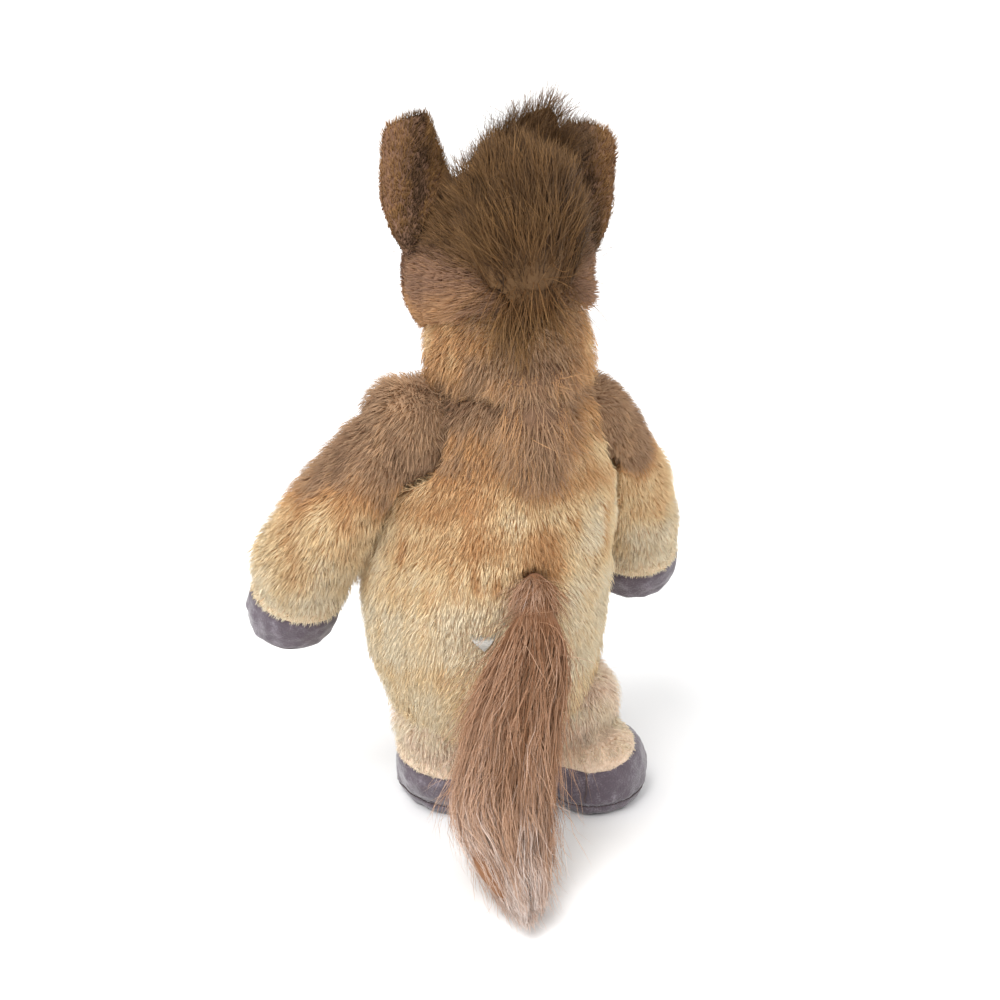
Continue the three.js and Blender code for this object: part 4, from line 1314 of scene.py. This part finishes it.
class PLUSH_OT_tail(bpy.types.Operator):
    """Makes the tail's dock and its long loose hair"""

    bl_idname = "plush_horse.tail"
    bl_label = "Tail"

    def execute(self, context):
        dye, size = colours(), sizes()
        stops = [(0.0, dye.chestnut), (0.3, dye.russet), (0.6, dye.fawn), (1.0, dye.ash)]
        # The root colour is painted shade deep in the hair.
        hair = fibre_material("tail hair, reddish brown to ash at its ends", stops, painted_root_shade=0xD0C4B8,
                              rough=0.5, sheen=0.25)
        route = DOCK + np.array(TAIL_ROUTE) * MM
        steps = np.linspace(0, 1, 12, endpoint=False)[:, None]
        fine = np.concatenate([a + (b - a) * steps for a, b in zip(route, route[1:])])
        ways = unit(np.gradient(fine, axis=0))
        tree = search_tree(fine)

        def nearest(spots):
            """The number of the place on the route that is nearest to each spot."""
            return np.array([tree.find(spot)[1] for spot in spots])

        def flow(spots):
            """Hair follows the route."""
            return ways[nearest(spots)]

        def share(spots):
            """How far down the tail each spot is."""
            return nearest(spots) / len(fine)

        def tail_dye(roots, outwards):
            """Reddish brown at the dock to ash at the ends."""
            return 0.4 + 0.48 * ramp(share(roots), 0.15, 0.8) + streaks(roots, 12, 15) * 0.11

        def tapered(paths):
            """Draws the lower hair towards the middle of the tail, and keeps it off the floor."""
            flat = paths.reshape(-1, 3)
            numbers = nearest(flat)
            middle, part = fine[numbers], numbers / len(fine)
            flat = flat + (middle - flat) * (0.34 * ramp(part, 0.55, 1.0))[:, None]
            aside = np.maximum(flat[:, 0] - middle[:, 0], 0)
            flat[:, 0] -= aside * 0.4 * ramp(part, 0.52, 0.78)
            flat[:, 2] = np.maximum(flat[:, 2], 0.6 * MM)
            return flat.reshape(paths.shape)

        def lock_length(roots):
            """Shorter towards the end."""
            part = share(roots)
            return size.tail_lock / MM * (1 - 0.4 * ramp(part, 0.45, 0.8) - 0.35 * ramp(part, 0.8, 0.96))

        def thinner(points):
            """How far the core is moved in (mm), further towards the end."""
            return 4.4 + 4.4 * ramp(share(points), 0.65, 0.95)

        def before_end(roots, outwards):
            """No hair starts at the very end."""
            return share(roots) < 0.97

        def spreading(spots):
            """The tuft of the dock follows the route and opens."""
            return unit(flow(spots) + unit(spots - DOCK) * 0.5)

        cloth = hair_backing("tail backing, russet knitted cloth", shaded(dye.russet, 0.8))
        core = hair_core("tail_hair", "tail", "long_hair", cloth, voxel=2.4, inset=thinner)
        locks("tail_locks", core, "tail", flow, tail_dye, hair, count=7200, length_mm=lock_length, steps=5,
              seed=93, height=(0.0, 6.5), hug=0.45, wave_mm=3.4, curl_mm=17, spread=0.17, stray=0.12, group=7,
              pull=0.3, grain=0.07, width_mm=0.21, keep=before_end, trim=tapered)
        stub = hair_core("tail_dock", "dock", "brown_plush", cloth, voxel=1.0, inset=1.2)
        locks("dock_locks", stub, "dock", spreading, tail_dye, hair, count=1000, length_mm=32, steps=4,
              seed=94, height=(0.0, 3.5), hug=0.15, wave_mm=1.4, spread=0.3)
        return {"FINISHED"}


class PLUSH_OT_label(bpy.types.Operator):
    """Hangs the small bare ribbon label beside the tail"""

    bl_idname = "plush_horse.label"
    bl_label = "Label"

    def execute(self, context):
        points = node_points("care_label")
        middle = points.mean(0)
        across = unit(np.linalg.svd((points - middle) * [1, 1, 0])[2][0])
        facing = np.cross(across, UP)
        facing = facing * math.copysign(1, facing[1])
        middle = middle - facing * 4.6 * MM + np.array([-4.5, 0.0, 7.0]) * MM  # into the pile and up
        width, tall, roll = 13 * MM, 17 * MM, math.radians(40)
        work = bmesh.new()
        bmesh.ops.create_grid(work, x_segments=8, y_segments=12, size=1)
        for vertex in work.verts:
            aside, down = width / 2 * vertex.co.x, tall / 2 * vertex.co.y
            turned = aside * math.cos(roll) + down * math.sin(roll)
            hang = down * math.cos(roll) - aside * math.sin(roll)
            bow = 0.4 * math.cos(vertex.co.y * math.pi / 2)
            curl = (bow + 6.5 * ramp(hang / MM, 2.0, 7.0)) * MM  # the lower corner stands off
            vertex.co = middle + across * turned - UP * hang + facing * curl
        bmesh.ops.solidify(work, geom=work.faces[:], thickness=0)  # its two sides lie together
        bmesh.ops.recalc_face_normals(work, faces=work.faces[:])
        label = new_object("care_label_ribbon", mesh_from(work, "care_label_ribbon"))
        dress(label, "torso", ribbon_material(), "label_ribbon", "care_label")
        return {"FINISHED"}


class PLUSH_OT_stage(bpy.types.Operator):
    """Sets the pale floor, the soft light and the camera"""

    bl_idname = "plush_horse.stage"
    bl_label = "Stage"

    def execute(self, context):
        scene = context.scene
        scene.view_settings.view_transform = "Standard"
        work = bmesh.new()
        bmesh.ops.create_grid(work, x_segments=1, y_segments=1, size=12)
        floor = new_object("floor", mesh_from(work, "floor"))
        floor.data.materials.append(paper_material())
        sun_data = bpy.data.lights.new("soft_sun", "SUN")
        sun_data.energy, sun_data.angle = 2.2, math.radians(35)
        sun = new_object("soft_sun", sun_data)
        sun.rotation_euler = Vector((0.75, 0.55, 1.25)).to_track_quat("Z", "Y").to_euler()
        world = bpy.data.worlds.new("studio")
        scene.world = world
        world.use_nodes = True
        world.node_tree.nodes.clear()
        white = {"Color": linear(0xFFFFFF), "Strength": 1.0}
        sky = add_node(world.node_tree, "ShaderNodeBackground", white)
        add_node(world.node_tree, "ShaderNodeOutputWorld", {"Surface": sky})
        camera_data = bpy.data.cameras.new("camera")
        camera_data.lens, camera_data.sensor_width = LENS_MM, SENSOR_MM
        camera_data.clip_end = 50
        camera = new_object("camera", camera_data)
        level = math.cos(CAMERA_LIFT)
        back = Vector((math.sin(CAMERA_TURN) * level, -math.cos(CAMERA_TURN) * level, math.sin(CAMERA_LIFT)))
        camera.location = CAMERA_TARGET + back * CAMERA_DISTANCE
        camera.rotation_euler = back.to_track_quat("Z", "Y").to_euler()
        scene.camera = camera
        return {"FINISHED"}


STEPS = (
    PLUSH_OT_skins,
    PLUSH_OT_limbs,
    PLUSH_OT_pile,
    PLUSH_OT_head_pile,
    PLUSH_OT_ears,
    PLUSH_OT_face,
    PLUSH_OT_mane,
    PLUSH_OT_strips,
    PLUSH_OT_tail,
    PLUSH_OT_label,
    PLUSH_OT_stage,
)


class PLUSH_PT_panel(bpy.types.Panel):
    """Lists the steps and what they use"""

    bl_idname = "PLUSH_PT_panel"
    bl_label = "Plush Horse"
    bl_space_type = "VIEW_3D"
    bl_region_type = "UI"
    bl_category = "Plush Horse"

    def draw(self, context):
        layout = self.layout
        for group in (context.scene.plush_horse_sizes, context.scene.plush_horse_colours):
            column = layout.column()
            for name in group.__annotations__:
                column.prop(group, name)
        for step in STEPS:
            layout.operator(step.bl_idname)


CLASSES = (PlushHorseSizes, PlushHorseColours, *STEPS, PLUSH_PT_panel)


def register():
    """Adds the classes, and the sizes and dyes that the scene holds."""
    for kind in CLASSES:
        bpy.utils.register_class(kind)
    bpy.types.Scene.plush_horse_sizes = bpy.props.PointerProperty(type=PlushHorseSizes)
    bpy.types.Scene.plush_horse_colours = bpy.props.PointerProperty(type=PlushHorseColours)


def unregister():
    """Takes them away again."""
    del bpy.types.Scene.plush_horse_colours
    del bpy.types.Scene.plush_horse_sizes
    for kind in reversed(CLASSES):
        bpy.utils.unregister_class(kind)


def main():
    """Runs the steps in order."""
    register()
    for step in STEPS:
        group, name = step.bl_idname.split(".")
        getattr(getattr(bpy.ops, group), name)()


if __name__ == "__main__":
    main()
